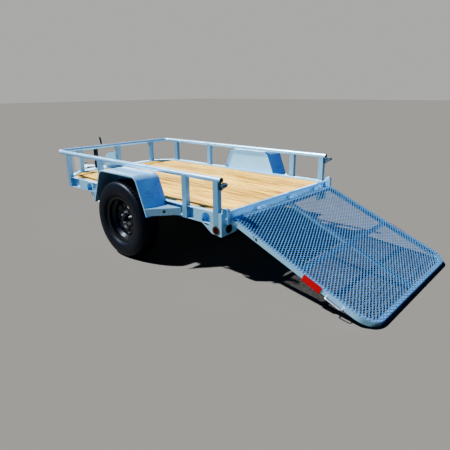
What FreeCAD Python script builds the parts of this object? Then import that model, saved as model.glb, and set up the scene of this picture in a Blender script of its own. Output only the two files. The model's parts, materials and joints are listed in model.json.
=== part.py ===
# Galvanised utility trailer with a wood deck, a tube rail and a mesh ramp, in millimetres.
# X points forward to the coupler, Y to the left, Z up, and the floor is Z = 0.
# The model is drawn from the rear face of the bed and moved at the end, so that the
# middle of its bounding box stands over the origin.
import FreeCAD
import Part
import math
import os

V = FreeCAD.Vector

# Bed: planks inside a frame of channels that open outwards, with its front corners cut off
deck_length = 2463.0
deck_width = 1524.0
plank_count = 8
plank_thickness = 38.0
plank_gap = 5.0
plank_end_gap = 1.0
deck_recess = 16.0
frame_bottom = 447.0
frame_height = 105.0
channel_wall = 4.0
channel_flange = 42.0
beam_flange = 28.0
frame_top = frame_bottom + frame_height
deck_top = frame_top - deck_recess
plank_bottom = deck_top - plank_thickness
web_y = deck_width / 2
flange_y = web_y + channel_flange
deck_rear = channel_wall
deck_front = deck_rear + deck_length
frame_front = deck_front + channel_flange
chamfer_x = frame_front - 209.0
chamfer_y = flange_y - 239.0

# Cross members under the planks, as shares of the deck's length
cross_member_places = [0.17, 0.42, 0.65, 0.86]
cross_member_flange = 40.0

# Wheels, tyres and axle
wheel_radius = 353.0
tyre_width = 205.0
tyre_bead_radius = 190.0
rim_width = 152.0
rim_flange_radius = 206.0
rim_wall = 4.0
rim_half = rim_width / 2
rim_inner_radius = tyre_bead_radius - rim_wall
rim_well_radius = rim_inner_radius - 22.0
rim_edge = 3.0
rim_bead = 6.0
rim_inner_seat = 26.0
rim_inner_well = 44.0
rim_outer_seat = 34.0
rim_outer_well = 58.0
wheel_centre_y = web_y + 170.0
stud_circle_radius = 57.15
stud_count = 5
hub_bore_radius = 19.3
spindle_play = 0.08
spindle_overhang = 18.0
axle_x = deck_rear + 0.418 * deck_length
axle_tube_radius = 30.0
axle_tube_half = web_y - 27.0

# Tyre section from its bead to its tread, as (radius, distance from its middle)
tyre_half = tyre_width / 2
tyre_bead_half = rim_half - rim_bead
tyre_bead_top = rim_flange_radius + 2.0
tyre_bulge = (wheel_radius - 68.0, tyre_half)
tyre_side_top = (wheel_radius - 27.0, tyre_half - 8.0)
tyre_shoulder = (wheel_radius - 13.0, tyre_half - 15.0)
tyre_tread_edge = (wheel_radius - 9.0, tyre_half - 24.0)

# Wheel disc and hub sections, as (radius, distance outwards from the wheel's middle)
disc_section = [(32.0, 0.0), (84.0, 0.0), (104.0, 18.0), (128.0, 18.0), (rim_well_radius, 4.0),
                (rim_well_radius, 10.0), (130.0, 24.0), (101.0, 24.0), (82.0, 6.0), (32.0, 6.0)]
stud_hole_radius = 8.0
hand_hole_count = 8
hand_hole_radius = 15.0
hand_hole_circle = 116.0
hub_section = [(0.0, 30.0), (0.0, 62.0), (18.0, 62.0), (27.0, 56.0), (31.0, 46.0), (31.0, 0.0), (70.0, 0.0),
               (70.0, -12.0), (44.0, -16.0), (40.0, -78.0), (hub_bore_radius, -78.0), (hub_bore_radius, 30.0)]

# Springs
spring_y = web_y
spring_width = 45.0
leaf_thickness = 7.0
leaf_half_lengths = [330.0, 255.0, 180.0, 100.0]
spring_camber = 12.0
spring_pad = 4.0
spring_pad_half = 40.0
spring_pad_bite = 3.0
eye_radius = 13.0
eye_bolt_radius = 7.0
eye_bolt_overhang = 7.0
hanger_wall = 5.0
hanger_play = 1.0
hanger_top_half = 34.0
hanger_foot_half = 20.0
hanger_foot_drop = 20.0
hanger_corner = 14.0
clamp_plate_length = 120.0
clamp_plate_thickness = 8.0
clamp_plate_margin = 9.0
clamp_rod_radius = 6.0
clamp_rod_play = 0.3
clamp_rod_gap = 2.0
clamp_rod_overhang = 14.0
clamp_lift = 0.5
spring_seat = wheel_radius + axle_tube_radius + spring_pad
spring_top = spring_seat + leaf_thickness * len(leaf_half_lengths)

# Fenders and steps
fender_x = axle_x - 15.0
fender_top = 2 * wheel_radius + 70.0
fender_bottom = frame_bottom + 8.0
fender_top_half = 264.0
fender_bottom_half = 396.0
fender_corner = 74.0
fender_sheet = 3.0
fender_rim = 19.0
fender_outer_y = web_y + 269.0
fender_lip = 12.0
step_top = frame_top - 31.0
step_bottom = frame_bottom + 14.0
step_sheet = 4.0
step_corner = 16.0
step_start = 20.0
step_tuck = 20.0
step_inset = 2.0
step_overrun = 60.0
step_hole_radius = 11.0
step_hole_share = 0.48
step_hole_rise = 3.0

# Rail and posts
rail_radius = 21.15
rail_wall = 3.0
rail_height = 807.0
rail_bend = 70.0
rail_rear_end = 15.0
rail_from_web = 24.0
rail_y = web_y + rail_from_web
rail_x = deck_front + rail_from_web
post_width = 52.0
post_depth = 43.0
post_wall = 3.0
post_y = web_y + channel_wall
post_hole_radius = 5.0
post_hole_drop = 42.0
side_post_places = [57.0, fender_x - 0.2485 * deck_length, fender_x + 0.255 * deck_length, chamfer_x - 35.0]
front_post_x = deck_front + channel_wall
front_post_spread = chamfer_y - 42.0
front_post_places = [-front_post_spread, 0.0, front_post_spread]
front_post_flare = 36.0
front_post_flare_radius = 35.0
front_post_flare_drop = 19.0
cap_thickness = 5.0
cap_plug_length = 15.0
cap_play = 0.1
cap_inset = 0.5

# Corner plates, lamp plates and lamps
plate_thickness = 3.0
corner_plate_length = 302.0
corner_plate_slope_start = 210.0
corner_plate_slope_end = 101.0
corner_plate_bend = 30.0
corner_plate_low = frame_bottom - 73.0
corner_plate_tip = frame_bottom - 83.0
rear_plate_width = 186.0
lamp_plate_front = chamfer_x - 238.0
lamp_plate_rear = lamp_plate_front - 270.0
lamp_plate_corner = 20.0
big_hole_radius = 50.0
small_hole_radius = 6.0
corner_big_hole_x = 159.0
corner_small_hole_x = 252.0
lamp_plate_big_hole_x = lamp_plate_front - 201.0
lamp_plate_small_hole_x = lamp_plate_front - 119.0
big_hole_z = frame_bottom + 37.0
small_hole_z = frame_top - 28.0
lamp_radius = 28.0
grommet_radius = 32.0
grommet_lip = 6.0
lamp_depth = 22.0
lens_rise = 3.0
lens_round = 2.5
side_lamp_x = 54.0
side_lamp_z = frame_bottom - 39.0
rear_lamp_y = flange_y - 82.0
rear_lamp_z = frame_bottom - 31.0

# Tongue, coupler and jack
tongue_angle = 25.0
tongue_apex_x = frame_front + 971.0
tongue_top = frame_bottom
tongue_height = 76.0
tongue_bottom = tongue_top - tongue_height
tongue_flange = 40.0
tongue_wall = 5.0
tongue_front_end = tongue_apex_x - 135.0
tongue_side_end = flange_y - 3.0
coupler_rear = tongue_apex_x - 375.0
coupler_plate = 6.0
coupler_skirt = 44.0
coupler_notch_tip = coupler_rear + 150.0
coupler_notch_corner = 20.0
coupler_notch_margin = 6.0
ball_x = tongue_apex_x - 18.0
ball_z = tongue_top - 2.0
ball_radius = 25.4
ball_play = 0.4
socket_wall = 8.0
socket_depth = 26.0
socket_room = 80.0
coupler_front = ball_x - 44.0
coupler_hollow_front = coupler_front + 60.0
bridge_length = 60.0
bridge_half = 24.0
bridge_rise = 8.0

# Coupler latch in side view, from the ball's centre and the top of the coupler's plate
latch_outline = [(-180.0, 40.0), (-180.0, 52.0), (-110.0, 40.0), (-36.0, 38.0), (-36.0, 8.0),
                 (-62.0, 8.0), (-62.0, 0.0), (-84.0, 0.0), (-84.0, 26.0), (-140.0, 32.0)]
latch_corners = [5.0, 5.0, 20.0, 12.0, 0, 0, 0, 0, 6.0, 20.0]
latch_width = 16.0

# Jack and its crank
jack_x = tongue_apex_x - 460.0
jack_tube_radius = 28.5
jack_tube_wall = 3.5
jack_tube_bottom = 300.0
jack_tube_top = 728.0
jack_leg_play = 0.5
jack_leg_top = 468.0
jack_foot = 130.0
jack_foot_thickness = 6.0
jack_foot_corner = 20.0
jack_plate_half = 62.0
jack_plate_thickness = 8.0
jack_plate_corner = 6.0
jack_hole_play = 0.5
jack_plate_top = tongue_top + jack_plate_thickness
jack_flange_reach = 83.0
jack_flange_corner = 18.0
jack_top_wall = 8.0
jack_cap_lip = 3.0
jack_cap_below = 12.0
jack_cap_above = 6.0
crank_radius = 6.0
crank_bend = 8.0
crank_height = jack_tube_top + 20.0
crank_grip_radius = 13.0
crank_grip_start = 0.2
crank_grip_end = 1.04
crank_reach = (24.0, -116.0)
crank_grip_top = (52.0, -116.0, crank_height + 104.0)

# Ramp, drawn flat with the hinge at its origin, and its tip on the floor
hinge_x = -32.0
hinge_z = frame_top - 38.0
ramp_length = 1295.0
ramp_half_width = web_y - 5.0
ramp_start = 26.0
ramp_under = 22.0
ramp_over = 16.0
ramp_wall = 4.0
ramp_flange = 32.0
ramp_tip_corner = 145.0
ramp_mesh_thickness = 4.0
ramp_bar_width = 32.0
ramp_bar_height = 30.0
ramp_cross_bar_place = 0.533 * ramp_length
mesh_long_way = 150.0
mesh_short_way = 72.0
mesh_strand = 11.0
mesh_margin = 14.0
mesh_inset = 2.0
mesh_knuckle = 3.0
least_corner = 5.0
ear_thickness = 6.0
ear_radius = 18.0
ear_length = 84.0
knuckle_ear_radius = 16.0
hinge_pin_radius = 8.0
hinge_pin_play = 0.08
hinge_pin_overhang = 4.0
knuckle_radius = 15.0
knuckle_length = 62.0
knuckle_places = [0.45 * web_y, -0.18 * web_y, -0.76 * web_y]
knuckle_gap = 3.0
bracket_y = web_y + 6.0
bracket_depth = 32.0
bracket_wall = 5.0
bracket_half = 29.0
bracket_crown = 0.5
bracket_bottom = frame_bottom + 27.0
bracket_top = frame_top + 48.0
corner_pin_end = bracket_y + 19.0
reflector_place = 0.565 * ramp_length
reflector_length = 152.0
reflector_height = 50.0
reflector_thickness = 7.0
reflector_rise = 2.0
handle_place = 0.722 * ramp_length
handle_length = 130.0
handle_reach = 26.0
handle_radius = 5.0
handle_lift = 1.0
handle_bend = 14.0
ramp_reach = math.hypot(ramp_length, ramp_under)
ramp_angle = math.degrees(math.asin(hinge_z / ramp_reach) - math.atan2(ramp_under, ramp_length))

# Gate latches on the rear posts, level with their holes in the raised ramp
latch_plate_y = web_y + 21.0
latch_plate_thickness = 5.0
latch_plate_rear = -46.0
latch_plate_bottom = rail_height - 78.0
latch_plate_top = rail_height - 11.0
latch_plate_shoulder = (8.0, -6.0)
latch_plate_taper = 20.0
latch_plate_corners = [0, 0, 6.0, 6.0, 8.0, 10.0, 8.0]
latch_rail_gap = 3.0
latch_pin_x = -30.0
latch_pin_z = rail_height - 31.0
latch_pin_radius = 6.0
latch_barrel_radius = 11.0
latch_barrel_length = 34.0
latch_barrel_drop = 8.0
latch_pin_overhang = 14.0
latch_pin_tip_y = web_y + 1.0
ramp_latch_hole_place = latch_pin_z - hinge_z
ramp_latch_hole_radius = 7.0

# Front bracket plate and blank data plate
front_bracket_width = 168.0
rail_room = rail_height - frame_top
front_bracket_top = frame_top + 0.67 * rail_room
front_bracket_corner = 0.294 * rail_room
front_bracket_thickness = 4.0
data_plate_length = 118.0
data_plate_low = frame_top + 8.0
data_plate_high = frame_top + 0.643 * rail_room
data_plate_thickness = 2.0

# How far cutting tools run past what they cut, and a place beyond every piece
past = 5.0
far = 3000.0
X_AXIS = V(1, 0, 0)
Y_AXIS = V(0, 1, 0)
Z_AXIS = V(0, 0, 1)


def block(x, y, z):
    """A box from three (low, high) pairs."""
    corner = V(min(x), min(y), min(z))
    return Part.makeBox(abs(x[1] - x[0]), abs(y[1] - y[0]), abs(z[1] - z[0]), corner)


def rod(radius, start, end):
    """A round bar between two points."""
    run = end.sub(start)
    return Part.makeCylinder(radius, run.Length, start, run)


def rounded_wire(points, radii, place):
    """A closed wire through 2D points, each corner rounded by its own radius (0 is sharp).
    place turns a 2D point into a 3D one."""
    count = len(points)
    entries = []
    for i in range(count):
        here = V(points[i][0], points[i][1], 0)
        before = V(points[i - 1][0], points[i - 1][1], 0).sub(here)
        after = V(points[(i + 1) % count][0], points[(i + 1) % count][1], 0).sub(here)
        if radii[i] <= 0:
            entries.append((here, here, here))
            continue
        half = before.getAngle(after) / 2
        back = radii[i] / math.tan(half)
        to_before = V(before).normalize()
        to_after = V(after).normalize()
        middle = V(to_before.add(to_after)).normalize()
        reach = radii[i] / math.sin(half) - radii[i]
        entries.append((here.add(to_before * back), here.add(middle * reach), here.add(to_after * back)))
    edges = []
    for i in range(count):
        start, bend, end = [place(p.x, p.y) for p in entries[i]]
        if radii[i] > 0:
            edges.append(Part.Arc(start, bend, end).toShape())
        following = entries[(i + 1) % count][0]
        target = place(following.x, following.y)
        if end.sub(target).Length > 1e-6:
            edges.append(Part.LineSegment(end, target).toShape())
    return Part.Wire(Part.__sortEdges__(edges))


def sheet(points, radii, place, thickness):
    """A prism on a rounded outline. thickness is a vector."""
    return Part.Face(rounded_wire(points, radii, place)).extrude(thickness)


def in_side_plane(y):
    return lambda u, v: V(u, y, v)


def in_rear_plane(x):
    return lambda u, v: V(x, u, v)


def in_floor_plane(z):
    return lambda u, v: V(u, v, z)


def bent_rod(radius, points, bend):
    """A round rod along an open path of straight runs with rounded corners."""
    edges = []
    start = points[0]
    for i in range(1, len(points) - 1):
        before = points[i - 1].sub(points[i])
        after = points[i + 1].sub(points[i])
        half = before.getAngle(after) / 2
        back = bend / math.tan(half)
        to_before = V(before).normalize()
        to_after = V(after).normalize()
        middle = V(to_before.add(to_after)).normalize()
        entry = points[i].add(to_before * back)
        leave = points[i].add(to_after * back)
        edges.append(Part.LineSegment(start, entry).toShape())
        crown = points[i].add(middle * (bend / math.sin(half) - bend))
        edges.append(Part.Arc(entry, crown, leave).toShape())
        start = leave
    edges.append(Part.LineSegment(start, points[-1]).toShape())
    path = Part.Wire(edges)
    direction = points[1].sub(points[0])
    section = Part.Wire(Part.makeCircle(radius, points[0], direction))
    return path.makePipeShell([section], True, False)


def revolved(profile, centre):
    """A solid of revolution about the Y line through centre, from (radius, y) points."""
    points = [V(centre.x + r, centre.y + y, centre.z) for r, y in profile]
    face = Part.Face(Part.makePolygon(points + [points[0]]))
    return face.revolve(centre, Y_AXIS, 360)


def mirrored(shape):
    return shape.mirror(V(0, 0, 0), Y_AXIS)


def fused(shapes):
    result = shapes[0]
    if len(shapes) > 1:
        result = shapes[0].fuse(shapes[1:])
    return result.removeSplitter()


nodes = {}


def node(name, shapes):
    nodes[name] = Part.makeCompound(shapes) if len(shapes) > 1 else shapes[0]


def both_sides(name, shapes):
    """The same piece on the left and, mirrored, on the right, as two nodes."""
    node(name + "_left", shapes)
    node(name + "_right", [mirrored(s) for s in shapes])


# Frame

def side_post_boxes():
    """The space of each side post, which the frame's flanges are notched for."""
    boxes = []
    for x in side_post_places:
        span = (x - post_width / 2, x + post_width / 2)
        boxes.append(block(span, (post_y, post_y + post_depth), (frame_bottom, rail_height)))
    return boxes


def front_post_boxes():
    boxes = []
    for y in front_post_places:
        span = (y - post_width / 2, y + post_width / 2)
        boxes.append(block((front_post_x, front_post_x + post_depth), span, (frame_bottom, rail_height)))
    return boxes


def frame_corners(inset):
    """Plan of the frame's left half and front, moved inwards: rear end, both ends of the
    cut corner and the same point of the right half."""
    side = flange_y - inset
    front = frame_front - inset
    inward = V(chamfer_y - flange_y, chamfer_x - frame_front, 0).normalize()
    level = inward.dot(V(chamfer_x, flange_y, 0)) + inset
    bend_x = (level - side * inward.y) / inward.x
    bend_y = (level - front * inward.x) / inward.y
    return [(0, side), (bend_x, side), (front, bend_y), (front, -bend_y)]


def frame_channel(i):
    """Channel that opens outwards along one run of the plan, mitred at its ends."""
    outer = frame_corners(0)
    face = frame_corners(channel_flange - channel_wall)
    inner = frame_corners(channel_flange)
    flat = [outer[i], outer[i + 1], inner[i + 1], inner[i]]
    upright = [face[i], face[i + 1], inner[i + 1], inner[i]]
    square = [0, 0, 0, 0]
    web = sheet(upright, square, in_floor_plane(frame_bottom), V(0, 0, frame_height))
    low = sheet(flat, square, in_floor_plane(frame_bottom), V(0, 0, channel_wall))
    high = sheet(flat, square, in_floor_plane(frame_top - channel_wall), V(0, 0, channel_wall))
    return fused([web, low, high]).cut(side_post_boxes() + front_post_boxes())


def rear_beam():
    run = (-web_y, web_y)
    web = block((0, channel_wall), run, (frame_bottom, frame_top))
    low = block((0, beam_flange), run, (frame_bottom, frame_bottom + channel_wall))
    high = block((0, beam_flange), run, (frame_top - channel_wall, frame_top))
    return fused([web, low, high])


def cross_members():
    members = []
    for share in cross_member_places:
        x = deck_rear + share * deck_length
        run = (-web_y, web_y)
        web = block((x - channel_wall / 2, x + channel_wall / 2), run, (frame_bottom, plank_bottom))
        top = (plank_bottom - channel_wall, plank_bottom)
        foot = (frame_bottom, frame_bottom + channel_wall)
        span = (x - channel_wall / 2, x - channel_wall / 2 + cross_member_flange)
        members.append(fused([web, block(span, run, top), block(span, run, foot)]))
    return members


def planks():
    room = deck_width - plank_gap * (plank_count + 1)
    width = room / plank_count
    left = frame_corners(channel_flange + plank_end_gap)[:3]
    outline = left + [(x, -y) for x, y in reversed(left)]
    inside = sheet(outline, [0] * 6, in_floor_plane(plank_bottom), V(0, 0, plank_thickness))
    boards = []
    for i in range(plank_count):
        low = -web_y + plank_gap + i * (width + plank_gap)
        run = (deck_rear + plank_end_gap, deck_front - plank_end_gap)
        boards.append(block(run, (low, low + width), (plank_bottom, deck_top)).common(inside))
    return boards


both_sides("side_channel", [frame_channel(0)])
node("corner_channels", [frame_channel(1), mirrored(frame_channel(1))])
node("front_channel", [frame_channel(2)])
node("rear_beam", [rear_beam()])
node("cross_members", cross_members())
node("deck_planks", planks())


# Rail and posts

def rail_path(radius):
    points = [V(rail_rear_end, rail_y, rail_height), V(rail_x, rail_y, rail_height),
              V(rail_x, -rail_y, rail_height), V(rail_rear_end, -rail_y, rail_height)]
    return bent_rod(radius, points, rail_bend)


def end_cap():
    centre = V(rail_rear_end, rail_y, rail_height)
    disc = rod(rail_radius - cap_inset, centre - X_AXIS * cap_thickness, centre)
    plug = rod(rail_radius - rail_wall - cap_play, centre, centre + X_AXIS * cap_plug_length)
    return fused([disc, plug])


rail_solid = rail_path(rail_radius)
node("top_rail", [rail_solid.cut(rail_path(rail_radius - rail_wall))])
node("rail_end_caps", [end_cap(), mirrored(end_cap())])


def side_post(x):
    """A channel that opens forwards, coped to the rail, with a small hole near its top."""
    low = x - post_width / 2
    outer = block((low, low + post_width), (post_y, post_y + post_depth), (frame_bottom, rail_height))
    hollow = block((low + post_wall, low + post_width), (post_y + post_wall, post_y + post_depth - post_wall),
                   (frame_bottom - past, rail_height + past))
    hole_z = rail_height - post_hole_drop
    hole = rod(post_hole_radius, V(low - past, rail_y, hole_z), V(low + post_wall + past, rail_y, hole_z))
    return outer.cut([hollow, rail_solid, hole])


def front_post_outline(y, inset, overrun):
    """Rear view of a front post, whose web side flares out under the rail."""
    low = y - post_width / 2 - overrun
    high = y + post_width / 2 - inset
    shoulder = rail_height - front_post_flare_drop - inset
    tip = high + front_post_flare
    top = rail_height + overrun
    bottom = frame_bottom - overrun
    return [(low, bottom), (high, bottom), (high, shoulder), (tip, shoulder), (tip, top), (low, top)]


def front_post(y):
    radii = [0, 0, front_post_flare_radius, 0, 0, 0]
    outer = sheet(front_post_outline(y, 0, 0), radii, in_rear_plane(front_post_x), V(post_depth, 0, 0))
    hollow = sheet(front_post_outline(y, post_wall, past), radii, in_rear_plane(front_post_x + post_wall),
                   V(post_depth - 2 * post_wall, 0, 0))
    return outer.cut([hollow, rail_solid])


left_posts = [side_post(x) for x in side_post_places]
node("posts_left", left_posts)
node("posts_right", [mirrored(p) for p in left_posts])
node("posts_front", [front_post(y) for y in front_post_places])


# Corner plates, lamp plates and lamps

def plate_hole(x, z, radius):
    return rod(radius, V(x, flange_y - past, z), V(x, flange_y + plate_thickness + past, z))


def corner_plate():
    """Side and rear plate of one rear corner, bent round it, with round lamp openings."""
    outline = [(-plate_thickness, frame_top), (corner_plate_length, frame_top),
               (corner_plate_length, frame_bottom), (corner_plate_slope_start, frame_bottom),
               (corner_plate_slope_end, corner_plate_low), (-plate_thickness, corner_plate_tip)]
    bends = [0, 0, 0, corner_plate_bend, corner_plate_bend, 0]
    side = sheet(outline, bends, in_side_plane(flange_y), V(0, plate_thickness, 0))
    inner = flange_y + plate_thickness - rear_plate_width
    outline = [(flange_y + plate_thickness, corner_plate_tip), (flange_y + plate_thickness, frame_top),
               (inner, frame_top), (inner, corner_plate_low)]
    bends = [0, 0, 0, corner_plate_bend]
    rear = sheet(outline, bends, in_rear_plane(-plate_thickness), V(plate_thickness, 0, 0))
    rear_spot = V(-plate_thickness, rear_lamp_y, rear_lamp_z)
    rear_hole = rod(grommet_radius, rear_spot - X_AXIS * past, rear_spot + X_AXIS * 2 * past)
    cuts = [plate_hole(corner_big_hole_x, big_hole_z, big_hole_radius),
            plate_hole(corner_small_hole_x, small_hole_z, small_hole_radius),
            plate_hole(side_lamp_x, side_lamp_z, grommet_radius), rear_hole]
    return fused([side, rear]).cut(cuts + side_post_boxes())


def lamp_plate():
    outline = [(lamp_plate_rear, frame_bottom), (lamp_plate_front, frame_bottom),
               (lamp_plate_front, frame_top), (lamp_plate_rear, frame_top)]
    radii = [lamp_plate_corner, 0, 0, lamp_plate_corner]
    plate = sheet(outline, radii, in_side_plane(flange_y), V(0, plate_thickness, 0))
    return plate.cut([plate_hole(lamp_plate_big_hole_x, big_hole_z, big_hole_radius),
                      plate_hole(lamp_plate_small_hole_x, small_hole_z, small_hole_radius)])


def lamp(centre, outward):
    """A round lens and, as a second solid, the rubber ring that holds it in its hole."""
    back = centre - outward * lamp_depth
    lens = rod(lamp_radius, back, centre + outward * lens_rise)
    lens = lens.makeFillet(lens_round, [lens.Edges[0]])
    ring = rod(grommet_radius, centre - outward * plate_thickness, centre)
    lip = rod(grommet_radius + grommet_lip, centre, centre + outward * lens_rise)
    return lens, fused([ring, lip]).cut(rod(lamp_radius, back, centre + outward * lamp_depth))


side_lens, side_ring = lamp(V(side_lamp_x, flange_y + plate_thickness, side_lamp_z), Y_AXIS)
rear_lens, rear_ring = lamp(V(-plate_thickness, rear_lamp_y, rear_lamp_z), X_AXIS * -1)
both_sides("corner_plate", [corner_plate()])
node("lamp_plates", [lamp_plate(), mirrored(lamp_plate())])
node("side_lamps", [side_lens, mirrored(side_lens)])
node("tail_lamps", [rear_lens, mirrored(rear_lens)])
node("lamp_grommets", [side_ring, rear_ring, mirrored(side_ring), mirrored(rear_ring)])


# Fenders and the tapered steps before and behind them

def fender_outline(inset, drop):
    """The fender's side view, moved in by inset and lengthened downwards by drop."""
    slope = (fender_bottom_half - fender_top_half) / (fender_top - fender_bottom)
    side = inset * math.hypot(1, slope)
    top_half = fender_top_half - side + slope * inset
    foot_half = fender_bottom_half - side + slope * drop
    points = [(fender_x - foot_half, fender_bottom - drop), (fender_x - top_half, fender_top - inset),
              (fender_x + top_half, fender_top - inset), (fender_x + foot_half, fender_bottom - drop)]
    corner = max(fender_corner - inset, least_corner)
    return points, [0, corner, corner, 0]


def fender_prism(inset, drop, y_low, y_high):
    points, radii = fender_outline(inset, drop)
    return sheet(points, radii, in_side_plane(y_low), V(0, y_high - y_low, 0))


def fender():
    inner_y = flange_y - fender_rim
    shell = fender_prism(0, 0, inner_y, fender_outer_y).cut(
        fender_prism(fender_sheet, past, inner_y - past, fender_outer_y + past))
    lip = fender_prism(0, 0, fender_outer_y - fender_sheet, fender_outer_y).cut(
        fender_prism(fender_lip, past, inner_y, fender_outer_y + past))
    plate = fender_prism(0, 0, flange_y, flange_y + fender_sheet)
    frame_room = block((0, frame_front), (0, flange_y), (0, frame_top))
    return fused([shell, lip, plate]).cut(frame_room)


def step(post_front):
    """A tapered shelf from the fender's rear leg in to the post, with a deep outer face."""
    start = V(post_front + step_start, flange_y, 0)
    end = V(fender_x - fender_bottom_half + step_tuck, fender_outer_y - step_inset, 0)
    along = end.sub(start)
    run = along.Length
    along.normalize()
    inward = V(along.y, -along.x, 0)

    def face_point(u, v):
        spot = start.add(along * u)
        return V(spot.x, spot.y, v)

    rear = run + step_overrun
    outline = [(0, step_bottom), (rear, step_bottom), (rear, step_top), (0, step_top)]
    face = sheet(outline, [step_corner, 0, 0, 0], face_point, inward * step_sheet)
    hole_at = face_point(run * step_hole_share, (step_bottom + step_top) / 2 + step_hole_rise)
    face = face.cut(rod(step_hole_radius, hole_at - inward * past, hole_at + inward * (step_sheet + past)))
    top_outline = [(start.x, flange_y), (end.x + step_overrun, flange_y),
                   (end.x + step_overrun, end.y + step_overrun), (end.x, end.y)]
    top = sheet(top_outline, [0, 0, 0, 0], in_floor_plane(step_top - step_sheet), V(0, 0, step_sheet))
    outside = block((0, frame_front), (fender_outer_y - step_inset, far), (0, frame_top))
    return fused([face, top]).cut([fender_prism(0, step_overrun, 0, far), outside])


def rear_step():
    return step(side_post_places[1] + post_width / 2)


def front_step():
    """The same shelf the other way round, in front of the fender."""
    post_rear = side_post_places[2] - post_width / 2
    return step(2 * fender_x - post_rear).mirror(V(fender_x, 0, 0), X_AXIS)


both_sides("fender", [fender()])
node("rear_steps", [rear_step(), mirrored(rear_step())])
node("front_steps", [front_step(), mirrored(front_step())])


# Axle, springs and what holds them

def axle():
    middle = V(axle_x, 0, wheel_radius)
    tube = rod(axle_tube_radius, middle - Y_AXIS * axle_tube_half, middle + Y_AXIS * axle_tube_half)
    reach = wheel_centre_y + spindle_overhang
    spindle = rod(hub_bore_radius - spindle_play, middle - Y_AXIS * reach, middle + Y_AXIS * reach)
    return fused([tube, spindle])


def arc_leaf(half_length, top_z, radius):
    """One leaf of the spring: a strip between two arcs about the same centre."""
    centre_z = top_z + radius

    def arc_points(r, end_x):
        height = centre_z - math.sqrt(r * r - end_x * end_x)
        return V(axle_x - end_x, 0, height), V(axle_x, 0, centre_z - r), V(axle_x + end_x, 0, height)

    a, b, c = arc_points(radius, half_length)
    d, e, f = arc_points(radius + leaf_thickness, half_length)
    edges = [Part.Arc(a, b, c).toShape(), Part.LineSegment(c, f).toShape(),
             Part.Arc(f, e, d).toShape(), Part.LineSegment(d, a).toShape()]
    face = Part.Face(Part.Wire(edges))
    face.translate(V(0, spring_y - spring_width / 2, 0))
    return face.extrude(V(0, spring_width, 0))


def spring_radius():
    half = leaf_half_lengths[0]
    return (half * half + spring_camber * spring_camber) / (2 * spring_camber)


def eye_height():
    return spring_top + spring_camber


def leaf_spring():
    pieces = []
    radius = spring_radius()
    for i, half in enumerate(leaf_half_lengths):
        pieces.append(arc_leaf(half, spring_top - i * leaf_thickness, radius + i * leaf_thickness))
    side = spring_width / 2
    for x in (axle_x - leaf_half_lengths[0], axle_x + leaf_half_lengths[0]):
        eye = rod(eye_radius, V(x, spring_y - side, eye_height()), V(x, spring_y + side, eye_height()))
        pieces.append(eye)
    pad = block((axle_x - spring_pad_half, axle_x + spring_pad_half), (spring_y - side, spring_y + side),
                (wheel_radius, spring_seat + spring_pad_bite))
    tube = rod(axle_tube_radius, V(axle_x, 0, wheel_radius), V(axle_x, far, wheel_radius))
    return fused(pieces + [pad]).cut(tube)


def hanger(x):
    """Two cheeks under the frame, with the bolt through the spring's eye."""
    cheeks = []
    gap = spring_width / 2 + hanger_play
    foot = eye_height() - hanger_foot_drop
    outline = [(x - hanger_top_half, frame_bottom), (x + hanger_top_half, frame_bottom),
               (x + hanger_foot_half, foot), (x - hanger_foot_half, foot)]
    radii = [0, 0, hanger_corner, hanger_corner]
    for y in (spring_y - gap - hanger_wall, spring_y + gap):
        cheeks.append(sheet(outline, radii, in_side_plane(y), V(0, hanger_wall, 0)))
    reach = gap + hanger_wall + eye_bolt_overhang
    bolt = rod(eye_bolt_radius, V(x, spring_y - reach, eye_height()), V(x, spring_y + reach, eye_height()))
    tie = block((x - hanger_top_half, x + hanger_top_half), (spring_y - gap, spring_y + gap),
                (frame_bottom - hanger_wall, frame_bottom))
    return fused(cheeks + [bolt, tie])


def spring_clamp():
    """The plate on top of the leaves and the two U bolts that pass round the axle tube."""
    side = spring_width / 2
    wide = side + clamp_rod_radius + clamp_plate_margin
    half = clamp_plate_length / 2
    plate = block((axle_x - half, axle_x + half), (spring_y - wide, spring_y + wide),
                  (spring_top + clamp_lift, spring_top + clamp_lift + clamp_plate_thickness))
    pieces = [plate]
    around = axle_tube_radius + clamp_rod_radius + clamp_rod_play
    top = spring_top + clamp_lift + clamp_plate_thickness + clamp_rod_overhang
    aside = side + clamp_rod_radius + clamp_rod_gap
    for y in (spring_y - aside, spring_y + aside):
        start = V(axle_x - around, y, top)
        low_left = V(axle_x - around, y, wheel_radius)
        bottom = V(axle_x, y, wheel_radius - around)
        low_right = V(axle_x + around, y, wheel_radius)
        end = V(axle_x + around, y, top)
        path = Part.Wire([Part.LineSegment(start, low_left).toShape(),
                          Part.Arc(low_left, bottom, low_right).toShape(),
                          Part.LineSegment(low_right, end).toShape()])
        section = Part.Wire(Part.makeCircle(clamp_rod_radius, start, Z_AXIS))
        pieces.append(path.makePipeShell([section], True, False))
    return fused(pieces)


left_spring = leaf_spring().cut(
    [rod(eye_bolt_radius, V(x, 0, eye_height()), V(x, far, eye_height()))
     for x in (axle_x - leaf_half_lengths[0], axle_x + leaf_half_lengths[0])])
left_hangers = [hanger(axle_x - leaf_half_lengths[0]), hanger(axle_x + leaf_half_lengths[0])]
node("axle", [axle()])
both_sides("leaf_spring", [left_spring])
node("spring_hangers", left_hangers + [mirrored(h) for h in left_hangers])
node("spring_clamps", [spring_clamp(), mirrored(spring_clamp())])


# Wheels

def wheel_centre(side):
    return V(axle_x, side * wheel_centre_y, wheel_radius)


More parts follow.
